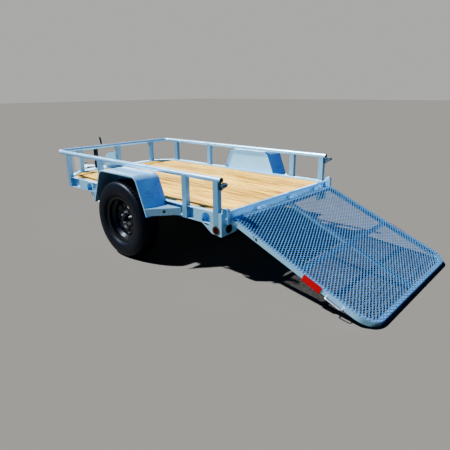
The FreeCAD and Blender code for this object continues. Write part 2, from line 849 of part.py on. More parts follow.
def tyre(centre):
    """A plain tyre from arcs: bead, sidewall, shoulder and a slightly crowned tread."""
    def at(point):
        return V(centre.x + point[0], centre.y + point[1], centre.z)

    def flipped(point):
        return (point[0], -point[1])

    bead = (tyre_bead_radius, tyre_bead_half)
    bead_top = (tyre_bead_top, tyre_bead_half)
    side = [bead_top, tyre_bulge, tyre_side_top, tyre_shoulder, tyre_tread_edge]
    points = side + [(wheel_radius, 0)] + [flipped(point) for point in reversed(side)]
    edges = [Part.Arc(at(points[i]), at(points[i + 1]), at(points[i + 2])).toShape()
             for i in range(0, len(points) - 2, 2)]
    corners = [flipped(bead_top), flipped(bead), bead, bead_top]
    for i in range(len(corners) - 1):
        edges.append(Part.LineSegment(at(corners[i]), at(corners[i + 1])).toShape())
    return Part.Face(Part.Wire(edges)).revolve(centre, Y_AXIS, 360)


def ring_of_holes(centre, count, first_share, circle, radius):
    """Tools for holes on a circle about the wheel's axis. first_share turns the first one."""
    holes = []
    for i in range(count):
        angle = math.pi / 2 + 2 * math.pi * (i + first_share) / count
        spot = centre + V(math.cos(angle), 0, math.sin(angle)) * circle
        holes.append(rod(radius, spot - Y_AXIS * rim_half, spot + Y_AXIS * rim_half))
    return holes


def rim(centre, side):
    """Drop centre rim with a dished disc, hand holes and stud holes."""
    well = rim_well_radius + rim_wall
    section = [(rim_inner_radius, -rim_half), (rim_flange_radius, -rim_half - rim_edge),
               (rim_flange_radius, -rim_half), (tyre_bead_radius, -rim_half + rim_bead),
               (tyre_bead_radius, -rim_half + rim_inner_seat), (well, -rim_half + rim_inner_well),
               (well, rim_half - rim_outer_well), (tyre_bead_radius, rim_half - rim_outer_seat),
               (tyre_bead_radius, rim_half - rim_bead), (rim_flange_radius, rim_half),
               (rim_flange_radius, rim_half + rim_edge), (rim_inner_radius, rim_half),
               (rim_inner_radius, rim_half - rim_outer_seat), (rim_well_radius, rim_half - rim_outer_well),
               (rim_well_radius, -rim_half + rim_inner_well), (rim_inner_radius, -rim_half + rim_inner_seat)]
    ring = revolved([(r, y * side) for r, y in section], centre)
    disc = revolved([(r, y * side) for r, y in disc_section], centre)
    studs = ring_of_holes(centre, stud_count, 0, stud_circle_radius, stud_hole_radius)
    hand_holes = ring_of_holes(centre, hand_hole_count, 0.5, hand_hole_circle, hand_hole_radius)
    return fused([ring, disc]).cut(studs + hand_holes)


def hub(centre, side):
    """Hub with its flange against the disc, bored for the spindle and closed by a dust cap."""
    return revolved([(r, y * side) for r, y in hub_section], centre)


for name, side in (("left", 1), ("right", -1)):
    centre = wheel_centre(side)
    node("tyre_" + name, [tyre(centre)])
    node("rim_" + name, [rim(centre, side)])
    node("hub_" + name, [hub(centre, side)])


# Tongue, coupler and jack

def tongue_member():
    """A channel that opens inwards, from under the side frame to the coupler."""
    run = (-far, tongue_height)
    half = tongue_flange / 2
    web = block(run, (half - tongue_wall, half), (tongue_bottom, tongue_top))
    low = block(run, (-half, half), (tongue_bottom, tongue_bottom + tongue_wall))
    high = block(run, (-half, half), (tongue_top - tongue_wall, tongue_top))
    member = fused([web, low, high])
    member.rotate(V(0, 0, 0), Z_AXIS, -tongue_angle)
    member.translate(V(tongue_apex_x, 0, 0))
    keep = block((-far, tongue_front_end), (0, tongue_side_end), (tongue_bottom - past, tongue_top + past))
    return member.common(keep)


def tongue_line(x):
    """Half the spread of the tongue's centre lines at x."""
    return (tongue_apex_x - x) * math.tan(math.radians(tongue_angle))


def tongue_span(x, margin):
    """The points at the right and left of both tongue channels at x, moved out by margin."""
    half = tongue_line(x) + tongue_flange / 2 / math.cos(math.radians(tongue_angle)) + margin
    return [(x, -half), (x, half)]


def coupler():
    """A-frame coupler: top plate, skirts outside the tongue and a domed socket for a ball."""
    square = [0, 0, 0, 0]
    skirt_bottom = tongue_top - coupler_skirt
    outline = tongue_span(coupler_rear, coupler_plate) + tongue_span(coupler_front, coupler_plate)[::-1]
    plate = sheet(outline, square, in_floor_plane(tongue_top), V(0, 0, coupler_plate))
    inner_edge = tongue_flange / 2 / math.cos(math.radians(tongue_angle))
    notch_half = tongue_line(coupler_rear) - inner_edge - coupler_notch_margin
    notch_rear = coupler_rear - past
    notch = sheet([(notch_rear, -notch_half), (coupler_notch_tip, 0), (notch_rear, notch_half)],
                  [0, coupler_notch_corner, 0], in_floor_plane(tongue_top - past),
                  V(0, 0, coupler_plate + 2 * past))
    full = sheet(outline, square, in_floor_plane(skirt_bottom), V(0, 0, coupler_skirt))
    inner = tongue_span(notch_rear, 0) + tongue_span(coupler_hollow_front, 0)[::-1]
    hollow = sheet(inner, square, in_floor_plane(skirt_bottom - past), V(0, 0, coupler_skirt + past))
    skirts = full.cut(hollow)
    centre = V(ball_x, 0, ball_z)
    room_radius = ball_radius + ball_play
    outer_radius = room_radius + socket_wall
    around = (-2 * outer_radius, 2 * outer_radius)
    below = block((ball_x + around[0], ball_x + around[1]), around, (ball_z + around[0], ball_z))
    dome = Part.makeSphere(outer_radius, centre).cut(below)
    skirt_ring = rod(outer_radius, centre - Z_AXIS * socket_depth, centre)
    bridge = block((ball_x - bridge_length, ball_x), (-bridge_half, bridge_half),
                   (ball_z - socket_depth, tongue_top + coupler_plate + bridge_rise))
    room = fused([Part.makeSphere(room_radius, centre),
                  rod(room_radius, centre - Z_AXIS * socket_room, centre)])
    return fused([plate.cut(notch), skirts, dome, skirt_ring, bridge]).cut(room)


def coupler_latch():
    """The lever on top of the coupler, lying back from the dome."""
    low = tongue_top + coupler_plate
    outline = [(ball_x + x, low + z) for x, z in latch_outline]
    return sheet(outline, latch_corners, in_side_plane(-latch_width / 2), V(0, latch_width, 0))


def jack_plate():
    """A flat plate across the two tongue channels, with the jack's hole."""
    outline = tongue_span(jack_x - jack_plate_half, 0) + tongue_span(jack_x + jack_plate_half, 0)[::-1]
    plate = sheet(outline, [jack_plate_corner] * 4, in_floor_plane(tongue_top), V(0, 0, jack_plate_thickness))
    hole = rod(jack_tube_radius + jack_hole_play, V(jack_x, 0, tongue_top - past),
               V(jack_x, 0, jack_plate_top + past))
    return plate.cut(hole)


def jack_tube():
    tube = rod(jack_tube_radius, V(jack_x, 0, jack_tube_bottom), V(jack_x, 0, jack_tube_top))
    bore = rod(jack_tube_radius - jack_tube_wall, V(jack_x, 0, jack_tube_bottom - past),
               V(jack_x, 0, jack_tube_top - jack_top_wall))
    outline = []
    for i in range(3):
        angle = 2 * math.pi * i / 3
        outline.append((jack_x + jack_flange_reach * math.cos(angle), jack_flange_reach * math.sin(angle)))
    flange = sheet(outline, [jack_flange_corner] * 3, in_floor_plane(jack_plate_top),
                   V(0, 0, jack_plate_thickness))
    cap = rod(jack_tube_radius + jack_cap_lip, V(jack_x, 0, jack_tube_top - jack_cap_below),
              V(jack_x, 0, jack_tube_top + jack_cap_above))
    return fused([tube, flange, cap]).cut(bore)


def jack_crank():
    foot = V(jack_x, 0, jack_tube_top + jack_cap_above)
    turn = V(jack_x, 0, crank_height)
    elbow = V(jack_x + crank_reach[0], crank_reach[1], crank_height)
    top = V(jack_x + crank_grip_top[0], crank_grip_top[1], crank_grip_top[2])
    crank = bent_rod(crank_radius, [foot, turn, elbow, top], crank_bend)
    grip_start = elbow + (top - elbow) * crank_grip_start
    grip_end = elbow + (top - elbow) * crank_grip_end
    return fused([crank, rod(crank_grip_radius, grip_start, grip_end)])


def jack_leg():
    radius = jack_tube_radius - jack_tube_wall - jack_leg_play
    leg = rod(radius, V(jack_x, 0, jack_foot_thickness), V(jack_x, 0, jack_leg_top))
    half = jack_foot / 2
    outline = [(jack_x - half, -half), (jack_x + half, -half), (jack_x + half, half), (jack_x - half, half)]
    foot = sheet(outline, [jack_foot_corner] * 4, in_floor_plane(0), V(0, 0, jack_foot_thickness))
    return fused([leg, foot])


both_sides("tongue", [tongue_member()])
node("coupler", [coupler()])
node("coupler_latch", [coupler_latch()])
node("jack_plate", [jack_plate()])
node("jack_tube", [jack_tube()])
node("jack_crank", [jack_crank()])
node("jack_leg", [jack_leg()])


# Front bracket plate and blank data plate

def front_bracket():
    low_y = front_post_places[1] + post_width / 2
    high_y = low_y + front_bracket_width
    outline = [(low_y, frame_top), (high_y, frame_top),
               (high_y, front_bracket_top), (low_y, front_bracket_top)]
    x = front_post_x + post_depth / 2
    return sheet(outline, [0, 0, front_bracket_corner, 0], in_rear_plane(x), V(front_bracket_thickness, 0, 0))


def data_plate():
    y = front_post_places[2] + post_width / 2
    run = (front_post_x, front_post_x + data_plate_length)
    return block(run, (y, y + data_plate_thickness), (data_plate_low, data_plate_high))


node("front_bracket", [front_bracket()])
node("data_plate", [data_plate()])


# Ramp. It is drawn with s, the distance from the hinge, along -X and its upper face up.

def lowered(shape):
    """Turn a flat ramp piece down about the hinge line until the tip rests on the floor."""
    placed = shape.copy()
    placed.rotate(V(0, 0, 0), Y_AXIS, -ramp_angle)
    placed.translate(V(hinge_x, 0, hinge_z))
    return placed


def ramp_outline(inset):
    near = -ramp_start - inset
    tip = -ramp_length + inset
    half = ramp_half_width - inset
    corner = max(ramp_tip_corner - inset, least_corner)
    points = [(near, -half), (near, half), (tip, half), (tip, -half)]
    return points, [0, 0, corner, corner]


def ramp_ring(inset, low, high):
    outer = sheet(*ramp_outline(0), in_floor_plane(low), V(0, 0, high - low))
    inner = sheet(*ramp_outline(inset), in_floor_plane(low - past), V(0, 0, high - low + 2 * past))
    return outer.cut(inner)


def ramp_frame():
    """One channel bent round the ramp, opening inwards."""
    web = ramp_ring(ramp_wall, -ramp_under, ramp_over)
    low = ramp_ring(ramp_flange, -ramp_under, -ramp_under + ramp_wall)
    high = ramp_ring(ramp_flange, ramp_over - ramp_wall, ramp_over)
    holes = []
    for side in (1, -1):
        spot = V(-ramp_latch_hole_place, side * ramp_half_width, latch_pin_x - hinge_x)
        holes.append(rod(ramp_latch_hole_radius, spot - Y_AXIS * past, spot + Y_AXIS * past))
    return fused([web, low, high]).cut(holes)


def ramp_bars():
    """The middle bar from hinge end to tip and the bar across, between the channel's walls."""
    half = ramp_bar_width / 2
    top = ramp_over - ramp_wall
    bottom = top - ramp_bar_height
    long_bar = block((-ramp_length + ramp_wall, -ramp_start - ramp_wall), (-half, half), (bottom, top))
    reach = ramp_half_width - ramp_wall
    cross = block((-ramp_cross_bar_place - half, -ramp_cross_bar_place + half), (-reach, reach),
                  (bottom, top))
    return fused([long_bar, cross])


def ramp_mesh():
    """Coarse diamond grille on the frame's upper flanges."""
    plate = Part.Wire(rounded_wire(*ramp_outline(mesh_inset), in_floor_plane(ramp_over)))
    reach_y = ramp_half_width - mesh_margin
    near = ramp_start + mesh_margin
    tip = ramp_length - mesh_margin
    corner = ramp_tip_corner
    half_y = mesh_long_way / 2 - mesh_strand
    half_s = mesh_short_way / 2 - mesh_strand * mesh_short_way / mesh_long_way - mesh_knuckle
    rows = int((tip - near) / (mesh_short_way / 2)) - 1
    start_s = near + (tip - near - rows * mesh_short_way / 2) / 2

    def inside(s, y):
        if abs(y) > reach_y or s < near or s > tip:
            return False
        over_s = s - (ramp_length - corner)
        over_y = abs(y) - (ramp_half_width - corner)
        if over_s > 0 and over_y > 0:
            return math.hypot(over_s, over_y) < corner - mesh_margin
        return True

    wires = [plate]
    for row in range(rows + 1):
        s = start_s + row * mesh_short_way / 2
        shift = 0 if row % 2 == 0 else mesh_long_way / 2
        count = int(ramp_half_width / mesh_long_way) + 1
        for k in range(-count, count + 1):
            y = k * mesh_long_way + shift
            diamond = [(s - half_s, y), (s, y + half_y), (s + half_s, y), (s, y - half_y)]
            if all(inside(*corner_point) for corner_point in diamond):
                points = [V(-u, v, ramp_over) for u, v in diamond]
                wires.append(Part.makePolygon(points + [points[0]]))
    return Part.makeFace(wires, "Part::FaceMakerBullseye").extrude(V(0, 0, ramp_mesh_thickness))


def ear(y_low, y_high, end_place, radius):
    """A plate with a round end about the hinge line, running back to end_place."""
    strap = block((-end_place, 0), (y_low, y_high), (-radius, ramp_over))
    boss = rod(radius, V(0, y_low, 0), V(0, y_high, 0))
    return fused([strap, boss])


def corner_ear():
    """Ear on the outside of the ramp's channel, with the pin that the hinge bracket holds."""
    plate = ear(ramp_half_width, ramp_half_width + ear_thickness, ear_length, ear_radius)
    stub = rod(hinge_pin_radius, V(0, ramp_half_width + ear_thickness, 0), V(0, corner_pin_end, 0))
    return fused([plate, stub])


def knuckle_ears(y):
    """Two ears and their pin, around one knuckle of the bed."""
    half = knuckle_length / 2 + knuckle_gap
    ears = [ear(y + half, y + half + ear_thickness, ramp_start, knuckle_ear_radius),
            ear(y - half - ear_thickness, y - half, ramp_start, knuckle_ear_radius)]
    reach = half + ear_thickness + hinge_pin_overhang
    pin = rod(hinge_pin_radius, V(0, y - reach, 0), V(0, y + reach, 0))
    return fused(ears + [pin])


def ramp_reflector():
    high = ramp_over + reflector_rise
    return block((-reflector_place - reflector_length, -reflector_place),
                 (ramp_half_width, ramp_half_width + reflector_thickness), (high - reflector_height, high))


def ramp_handle():
    """A bent rod on the outside of the channel's lower edge."""
    z = -ramp_under + handle_radius + handle_lift
    start = -handle_place
    end = -handle_place - handle_length
    out = ramp_half_width + handle_reach
    points = [V(start, ramp_half_width, z), V(start, out, z), V(end, out, z), V(end, ramp_half_width, z)]
    return bent_rod(handle_radius, points, handle_bend)


ears = [corner_ear(), mirrored(corner_ear())]
ears += [knuckle_ears(y) for y in knuckle_places]
node("ramp_frame", [lowered(ramp_frame())])
node("ramp_bars", [lowered(ramp_bars())])
node("ramp_mesh", [lowered(ramp_mesh())])
node("ramp_ears", [lowered(e) for e in ears])
node("ramp_reflectors", [lowered(ramp_reflector()), lowered(mirrored(ramp_reflector()))])
node("ramp_handles", [lowered(ramp_handle()), lowered(mirrored(ramp_handle()))])


# Hinge knuckles, hinge brackets and latches on the bed

def knuckle(y):
    half = knuckle_length / 2
    middle = V(hinge_x, y, hinge_z)
    tube = rod(knuckle_radius, middle - Y_AXIS * half, middle + Y_AXIS * half)
    lug = block((hinge_x, 0), (y - half, y + half), (hinge_z - knuckle_radius, hinge_z))
    reach = Y_AXIS * (half + past)
    bore = rod(hinge_pin_radius + hinge_pin_play, middle - reach, middle + reach)
    return fused([tube, lug]).cut(bore)


def hinge_bracket():
    """A round-topped pocket that opens outwards, with the pin's hole in its inner wall."""
    def arch(half, bottom, y_low, y_high):
        top = bracket_top - (bracket_half - half)
        outline = [(hinge_x - half, bottom), (hinge_x + half, bottom),
                   (hinge_x + half, top), (hinge_x - half, top)]
        corner = half - bracket_crown
        return sheet(outline, [0, 0, corner, corner], in_side_plane(y_low), V(0, y_high - y_low, 0))

    outer = arch(bracket_half, bracket_bottom, bracket_y, bracket_y + bracket_depth)
    pocket = arch(bracket_half - bracket_wall, bracket_bottom - past, bracket_y + bracket_wall,
                  bracket_y + bracket_depth + past)
    hole = rod(hinge_pin_radius + hinge_pin_play, V(hinge_x, bracket_y - past, hinge_z),
               V(hinge_x, bracket_y + bracket_wall + past, hinge_z))
    return outer.cut([pocket, hole])


def gate_latch():
    """A plate behind the rear post, with a spring barrel and the pin that locks the ramp."""
    front = side_post_places[0] - post_width / 2
    under_rail = rail_height - rail_radius - latch_rail_gap
    outline = [(front, latch_plate_bottom), (front, under_rail), (latch_plate_shoulder[0], under_rail),
               (latch_plate_shoulder[1], latch_plate_top), (latch_plate_rear, latch_plate_top),
               (latch_plate_rear, latch_pin_z - latch_barrel_drop),
               (front - latch_plate_taper, latch_plate_bottom)]
    plate = sheet(outline, latch_plate_corners, in_side_plane(latch_plate_y), V(0, latch_plate_thickness, 0))
    start = latch_plate_y + latch_plate_thickness
    end = start + latch_barrel_length
    barrel = rod(latch_barrel_radius, V(latch_pin_x, start, latch_pin_z), V(latch_pin_x, end, latch_pin_z))
    pin = rod(latch_pin_radius, V(latch_pin_x, latch_pin_tip_y, latch_pin_z),
              V(latch_pin_x, end + latch_pin_overhang, latch_pin_z))
    return fused([plate, barrel, pin])


node("hinge_knuckles", [knuckle(y) for y in knuckle_places])
node("hinge_brackets", [hinge_bracket(), mirrored(hinge_bracket())])
node("gate_latches", [gate_latch(), mirrored(gate_latch())])


# Move everything so that the middle of the whole stands over the origin, then write it
whole = Part.makeCompound(list(nodes.values())).BoundBox
shift = V(-(whole.XMin + whole.XMax) / 2, -(whole.YMin + whole.YMax) / 2, 0)
os.makedirs("parts", exist_ok=True)
for name, shape in nodes.items():
    moved = shape.copy()
    moved.translate(shift)
    moved.exportStep("parts/" + name + ".step")
print("nodes", len(nodes), "shift", round(shift.x, 3), round(shift.y, 3))
print("whole X", round(whole.XMin, 2), round(whole.XMax, 2), "Y", round(whole.YMin, 2), round(whole.YMax, 2))
print("ramp angle", round(ramp_angle, 3), "deck top", deck_top, "rail outer", rail_y + rail_radius)
for name, shape in nodes.items():
    if not shape.isValid() or any(s.Volume <= 0 for s in shape.Solids):
        print("check", name, "valid", shape.isValid(), "solids", len(shape.Solids))
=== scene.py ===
import json
import math

import bmesh
import bpy
from mathutils import Matrix, Vector


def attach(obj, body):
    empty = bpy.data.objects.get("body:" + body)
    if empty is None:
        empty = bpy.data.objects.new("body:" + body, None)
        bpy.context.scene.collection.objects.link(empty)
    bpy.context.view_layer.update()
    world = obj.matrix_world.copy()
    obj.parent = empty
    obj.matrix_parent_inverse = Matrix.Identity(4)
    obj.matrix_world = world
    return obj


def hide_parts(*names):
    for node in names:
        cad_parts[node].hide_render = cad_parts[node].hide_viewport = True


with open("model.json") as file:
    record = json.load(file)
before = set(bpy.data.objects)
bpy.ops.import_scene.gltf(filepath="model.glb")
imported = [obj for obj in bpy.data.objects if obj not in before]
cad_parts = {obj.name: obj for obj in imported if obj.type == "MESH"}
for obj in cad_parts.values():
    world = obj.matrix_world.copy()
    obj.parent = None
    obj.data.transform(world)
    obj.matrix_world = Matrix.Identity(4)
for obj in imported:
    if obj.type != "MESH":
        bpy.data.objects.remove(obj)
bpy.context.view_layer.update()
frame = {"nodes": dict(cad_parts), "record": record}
nodes = frame["nodes"]
scene = bpy.context.scene
shiftX = -1.130243  # the bed's rear face is at this X
print("frame loaded:", len(nodes), "nodes")


# Camera at the photograph's place: behind the trailer, on its left
cameraView = {
    "place": (-3.1780, 3.0386, 1.4425),
    "turn": -48.015,  # from +X, degrees
    "tilt": -17.872,
    "roll": -0.470,
    "lens": 33.30,
    "sensor": 36.0,
}

cameraData = bpy.data.cameras.new("camera")
cameraData.lens = cameraView["lens"]
cameraData.sensor_width = cameraView["sensor"]
camera = bpy.data.objects.new("camera", cameraData)
scene.collection.objects.link(camera)
turn = math.radians(cameraView["turn"])
tilt = math.radians(cameraView["tilt"])
forward = Vector((math.cos(turn) * math.cos(tilt), math.sin(turn) * math.cos(tilt), math.sin(tilt)))
aim = forward.to_track_quat("-Z", "Y").to_matrix().to_4x4()
aim = aim @ Matrix.Rotation(math.radians(cameraView["roll"]), 4, "Z")
camera.matrix_world = Matrix.Translation(cameraView["place"]) @ aim
scene.camera = camera
print("camera placed")


# Help for shader nodes

def feed(tree, socket, value):
    # A number or colour is set on the socket, an output is linked to it
    if isinstance(value, (int, float, tuple)):
        socket.default_value = value
    else:
        tree.links.new(value, socket)


def addNode(tree, kind, settings=None, **values):
    made = tree.nodes.new(kind)
    for key, value in (settings or {}).items():
        setattr(made, key, value)
    for key, value in values.items():
        feed(tree, made.inputs[key], value)
    return made


def addMath(tree, operation, first, second=None):
    made = addNode(tree, "ShaderNodeMath", {"operation": operation})
    feed(tree, made.inputs[0], first)
    if second is not None:
        feed(tree, made.inputs[1], second)
    return made.outputs[0]


def addSum(tree, first, second):
    return addMath(tree, "ADD", first, second)


def addProduct(tree, first, second):
    return addMath(tree, "MULTIPLY", first, second)


def addMix(tree, factor, first, second):
    made = addNode(tree, "ShaderNodeMix", {"data_type": "RGBA"})
    for i, value in ((0, factor), (6, first), (7, second)):
        feed(tree, made.inputs[i], value)
    return made.outputs[2]


def addRange(tree, value, low, high, outLow=0.0, outHigh=1.0):
    made = addNode(tree, "ShaderNodeMapRange")
    for i, entry in enumerate((value, low, high, outLow, outHigh)):
        feed(tree, made.inputs[i], entry)
    return made.outputs[0]


def addNoise(tree, place, scale, detail, roughness):
    made = addNode(tree, "ShaderNodeTexNoise", None, Vector=place, Scale=scale, Detail=detail,
                   Roughness=roughness)
    return made.outputs["Fac"]


def addPlace(tree):
    return addNode(tree, "ShaderNodeTexCoord").outputs["Object"]


# Shader node groups that several finishes share. A noise is given as scale, detail and roughness

def startGroup(name, inputs, outputs):
    group = bpy.data.node_groups.new(name, "ShaderNodeTree")
    for label, kind, value in inputs:
        socket = group.interface.new_socket(name=label, in_out="INPUT", socket_type="NodeSocket" + kind)
        socket.default_value = value
    for label, kind in outputs:
        group.interface.new_socket(name=label, in_out="OUTPUT", socket_type="NodeSocket" + kind)
    return group, group.nodes.new("NodeGroupInput"), group.nodes.new("NodeGroupOutput")


def endGroup(group, end, **results):
    for label, value in results.items():
        group.links.new(value, end.inputs[label])
    return group


zincPattern = {
    "clouds": (5.0, 4.0, 0.6), "cloudEdges": (0.35, 0.65), "fine": (90.0, 3.0, 0.7),
    "toneShare": 0.5, "cloudShare": 0.35, "fineShare": 0.3,
    "cloudRoughness": 0.12, "toneRoughness": 0.06,
    "fineHeight": 0.7, "cloudHeight": 0.6,
}


def makeSpangleGroup():
    # Crystals of hot-dip zinc, with cloudy patches and a fine grain
    look = zincPattern
    group, start, end = startGroup(
        "zincSpangle",
        [("Light Zinc", "Color", (0.75, 0.78, 0.80, 1)), ("Dark Zinc", "Color", (0.45, 0.50, 0.54, 1)),
         ("Crystal Scale", "Float", 60.0), ("Contrast", "Float", 0.35), ("Base Roughness", "Float", 0.4)],
        [("Color", "Color"), ("Roughness", "Float"), ("Height", "Float")])
    place = addPlace(group)
    crystals = addNode(group, "ShaderNodeTexVoronoi", {"feature": "F1"}, Vector=place,
                       Scale=start.outputs["Crystal Scale"])
    tone = addNode(group, "ShaderNodeSeparateColor", None, Color=crystals.outputs["Color"])
    clouds = addNoise(group, place, *look["clouds"])
    cloudy = addRange(group, clouds, *look["cloudEdges"])
    fine = addNoise(group, place, *look["fine"])
    mixed = addSum(group, addProduct(group, tone.outputs[0], look["toneShare"]),
                   addProduct(group, cloudy, look["cloudShare"]))
    mixed = addSum(group, mixed, addProduct(group, fine, look["fineShare"]))
    amount = addProduct(group, mixed, start.outputs["Contrast"])
    colour = addMix(group, amount, start.outputs["Light Zinc"], start.outputs["Dark Zinc"])
    rough = addSum(group, start.outputs["Base Roughness"], addProduct(group, cloudy, look["cloudRoughness"]))
    rough = addSum(group, rough, addProduct(group, tone.outputs[1], look["toneRoughness"]))
    height = addSum(group, addProduct(group, fine, look["fineHeight"]),
                    addProduct(group, clouds, look["cloudHeight"]))
    return endGroup(group, end, Color=colour, Roughness=rough, Height=height)


pinePattern = {
    "boardSpread": 40.0,  # how far apart two boards may begin in the pattern
    "ringStretch": (0.55, 7.0, 7.0), "bend": (1.3, 3.0, 0.5), "rings": 9.0, "ringEdge": 2.2,
    "streakStretch": (2.4, 36.0, 36.0), "streaks": (1.0, 3.0, 0.6), "streakEdges": (0.42, 0.64),
    "ringShare": 0.5, "streakShare": 0.85, "grainShare": 0.8,
    "knotStretch": (2.1, 5.2), "knotEdges": (0.045, 0.11), "knotShare": 0.75,
    "knotColour": (0.22, 0.11, 0.045, 1),
    "boardTones": (0.68, 1.12),
    "patches": (2.2, 4.0, 0.6), "patchEdges": (0.45, 0.7), "patchColour": (0.66, 0.42, 0.20, 1),
    "seamEdges": (0.478, 0.492),  # of the pitch, from the middle of a board
    "seamShare": 0.9, "seamColour": (0.10, 0.035, 0.01, 1),
    "roughness": 0.55, "grainRoughness": 0.18,
}


def addStretch(group, axes, factors, beginning):
    # The place scaled on each axis, and begun elsewhere along each board
    made = addNode(group, "ShaderNodeCombineXYZ")
    for i, factor in enumerate(factors):
        scaled = addProduct(group, axes[i], factor)
        feed(group, made.inputs[i], addSum(group, scaled, beginning) if i == 0 else scaled)
    return made.outputs[0]


def makeGrainGroup():
    # Pine boards: each board has its own growth rings, knots and tone
    look = pinePattern
    group, start, end = startGroup(
        "pineGrain",
        [("Early Wood", "Color", (0.80, 0.62, 0.38, 1)), ("Late Wood", "Color", (0.62, 0.40, 0.18, 1)),
         ("Board Pitch", "Float", 0.1899), ("Board Start", "Float", -0.7595), ("Weathering", "Float", 0.3)],
        [("Color", "Color"), ("Roughness", "Float"), ("Height", "Float")])
    place = addPlace(group)
    axes = addNode(group, "ShaderNodeSeparateXYZ", None, Vector=place).outputs
    fromEdge = addMath(group, "SUBTRACT", axes[1], start.outputs["Board Start"])
    boards = addMath(group, "DIVIDE", fromEdge, start.outputs["Board Pitch"])
    chance = addNode(group, "ShaderNodeTexWhiteNoise", {"noise_dimensions": "1D"},
                     W=addMath(group, "FLOOR", boards)).outputs["Value"]
    beginning = addProduct(group, chance, look["boardSpread"])
    bend = addNoise(group, addStretch(group, axes, look["ringStretch"], beginning), *look["bend"])
    rings = addMath(group, "FRACT", addProduct(group, bend, look["rings"]))
    late = addMath(group, "POWER", rings, look["ringEdge"])
    streaks = addNoise(group, addStretch(group, axes, look["streakStretch"], beginning), *look["streaks"])
    streaky = addRange(group, streaks, *look["streakEdges"])
    grain = addSum(group, addProduct(group, late, look["ringShare"]),
                   addProduct(group, streaky, look["streakShare"]))
    knots = addNode(group, "ShaderNodeTexVoronoi", {"feature": "F1"}, Scale=1.0,
                    Vector=addStretch(group, axes, look["knotStretch"], beginning))
    knot = addRange(group, knots.outputs["Distance"], *look["knotEdges"], 1.0, 0.0)
    colour = addMix(group, addProduct(group, grain, look["grainShare"]), start.outputs["Early Wood"],
                    start.outputs["Late Wood"])
    colour = addMix(group, addProduct(group, knot, look["knotShare"]), colour, look["knotColour"])
    toned = addNode(group, "ShaderNodeVectorMath", {"operation": "SCALE"},
                    Scale=addRange(group, chance, 0.0, 1.0, *look["boardTones"]))
    feed(group, toned.inputs[0], colour)
    patchy = addRange(group, addNoise(group, place, *look["patches"]), *look["patchEdges"])
    worn = addProduct(group, patchy, start.outputs["Weathering"])
    aged = addMix(group, worn, toned.outputs[0], look["patchColour"])
    fromMiddle = addMath(group, "SUBTRACT", addMath(group, "FRACT", boards), 0.5)
    seam = addRange(group, addMath(group, "ABSOLUTE", fromMiddle), *look["seamEdges"], 0.0, look["seamShare"])
    return endGroup(group, end, Color=addMix(group, seam, aged, look["seamColour"]),
                    Roughness=addSum(group, look["roughness"],
                                     addProduct(group, grain, look["grainRoughness"])),
                    Height=addMath(group, "SUBTRACT", grain, knot))


dustPattern = {
    "specks": (14.0, 6.0, 0.75), "speckEdges": (0.42, 0.68),
    "shareAbove": 0.15,  # what is left of the dust from the height where it has faded
    "colour": (0.42, 0.39, 0.35, 1), "roughness": 0.4,
}


def makeDustGroup():
    # Pale road dust that thins out with height above the floor
    look = dustPattern
    group, start, end = startGroup(
        "roadDust",
        [("Color", "Color", (0.5, 0.5, 0.5, 1)), ("Roughness", "Float", 0.4), ("Amount", "Float", 0.3),
         ("Fades At", "Float", 0.5)],
        [("Color", "Color"), ("Roughness", "Float")])
    place = addPlace(group)
    height = addNode(group, "ShaderNodeSeparateXYZ", None, Vector=place).outputs[2]
    near = addRange(group, height, 0.0, start.outputs["Fades At"], 1.0, look["shareAbove"])
    patch = addRange(group, addNoise(group, place, *look["specks"]), *look["speckEdges"])
    cover = addProduct(group, addProduct(group, patch, near), start.outputs["Amount"])
    rough = addSum(group, start.outputs["Roughness"], addProduct(group, cover, look["roughness"]))
    return endGroup(group, end, Color=addMix(group, cover, start.outputs["Color"], look["colour"]),
                    Roughness=rough)


mouldPattern = {
    "fineDetail": 3.0, "fineRoughness": 0.6, "fineShare": 0.4,
    "wide": (9.0, 4.0, 0.6), "wideShare": 0.6,
}


def makeMouldGroup():
    # Fine texture of moulded rubber and plastic
    look = mouldPattern
    group, start, end = startGroup(
        "mouldTexture", [("Dark", "Color", (0.01, 0.01, 0.01, 1)), ("Light", "Color", (0.05, 0.05, 0.05, 1)),
                         ("Scale", "Float", 300.0)],
        [("Color", "Color"), ("Height", "Float")])
    place = addPlace(group)
    fine = addNoise(group, place, start.outputs["Scale"], look["fineDetail"], look["fineRoughness"])
    wide = addNoise(group, place, *look["wide"])
    both = addSum(group, addProduct(group, fine, look["fineShare"]),
                  addProduct(group, wide, look["wideShare"]))
    return endGroup(group, end, Color=addMix(group, both, start.outputs["Dark"], start.outputs["Light"]),
                    Height=fine)


spangleGroup = makeSpangleGroup()
grainGroup = makeGrainGroup()
dustGroup = makeDustGroup()
mouldGroup = makeMouldGroup()
print("shader groups made")


# Finishes. A bump is given as strength and distance; gloss holds the shader's own values

def startMaterial(name, gloss):
    material = bpy.data.materials.new(name)
    material.use_nodes = True
    tree = material.node_tree
    shader = tree.nodes["Principled BSDF"]
    for label, value in gloss.items():
        shader.inputs[label].default_value = value
    return material, tree, shader


def placeGroup(tree, group, values):
    made = addNode(tree, "ShaderNodeGroup", {"node_tree": group})
    for key, value in values.items():
        feed(tree, made.inputs[key], value)
    return made


def addBump(tree, shader, height, strength, distance):
    bump = addNode(tree, "ShaderNodeBump", None, Strength=strength, Distance=distance, Height=height)
    tree.links.new(bump.outputs[0], shader.inputs["Normal"])


def addDust(tree, shader, amount, fadesAt, colour, roughness):
    dusty = placeGroup(tree, dustGroup, {"Amount": amount, "Fades At": fadesAt, "Color": colour,
                                         "Roughness": roughness})
    tree.links.new(dusty.outputs["Color"], shader.inputs["Base Color"])
    tree.links.new(dusty.outputs["Roughness"], shader.inputs["Roughness"])


zincLook = {"bump": (0.05, 0.0005), "dustFadesAt": 0.6}


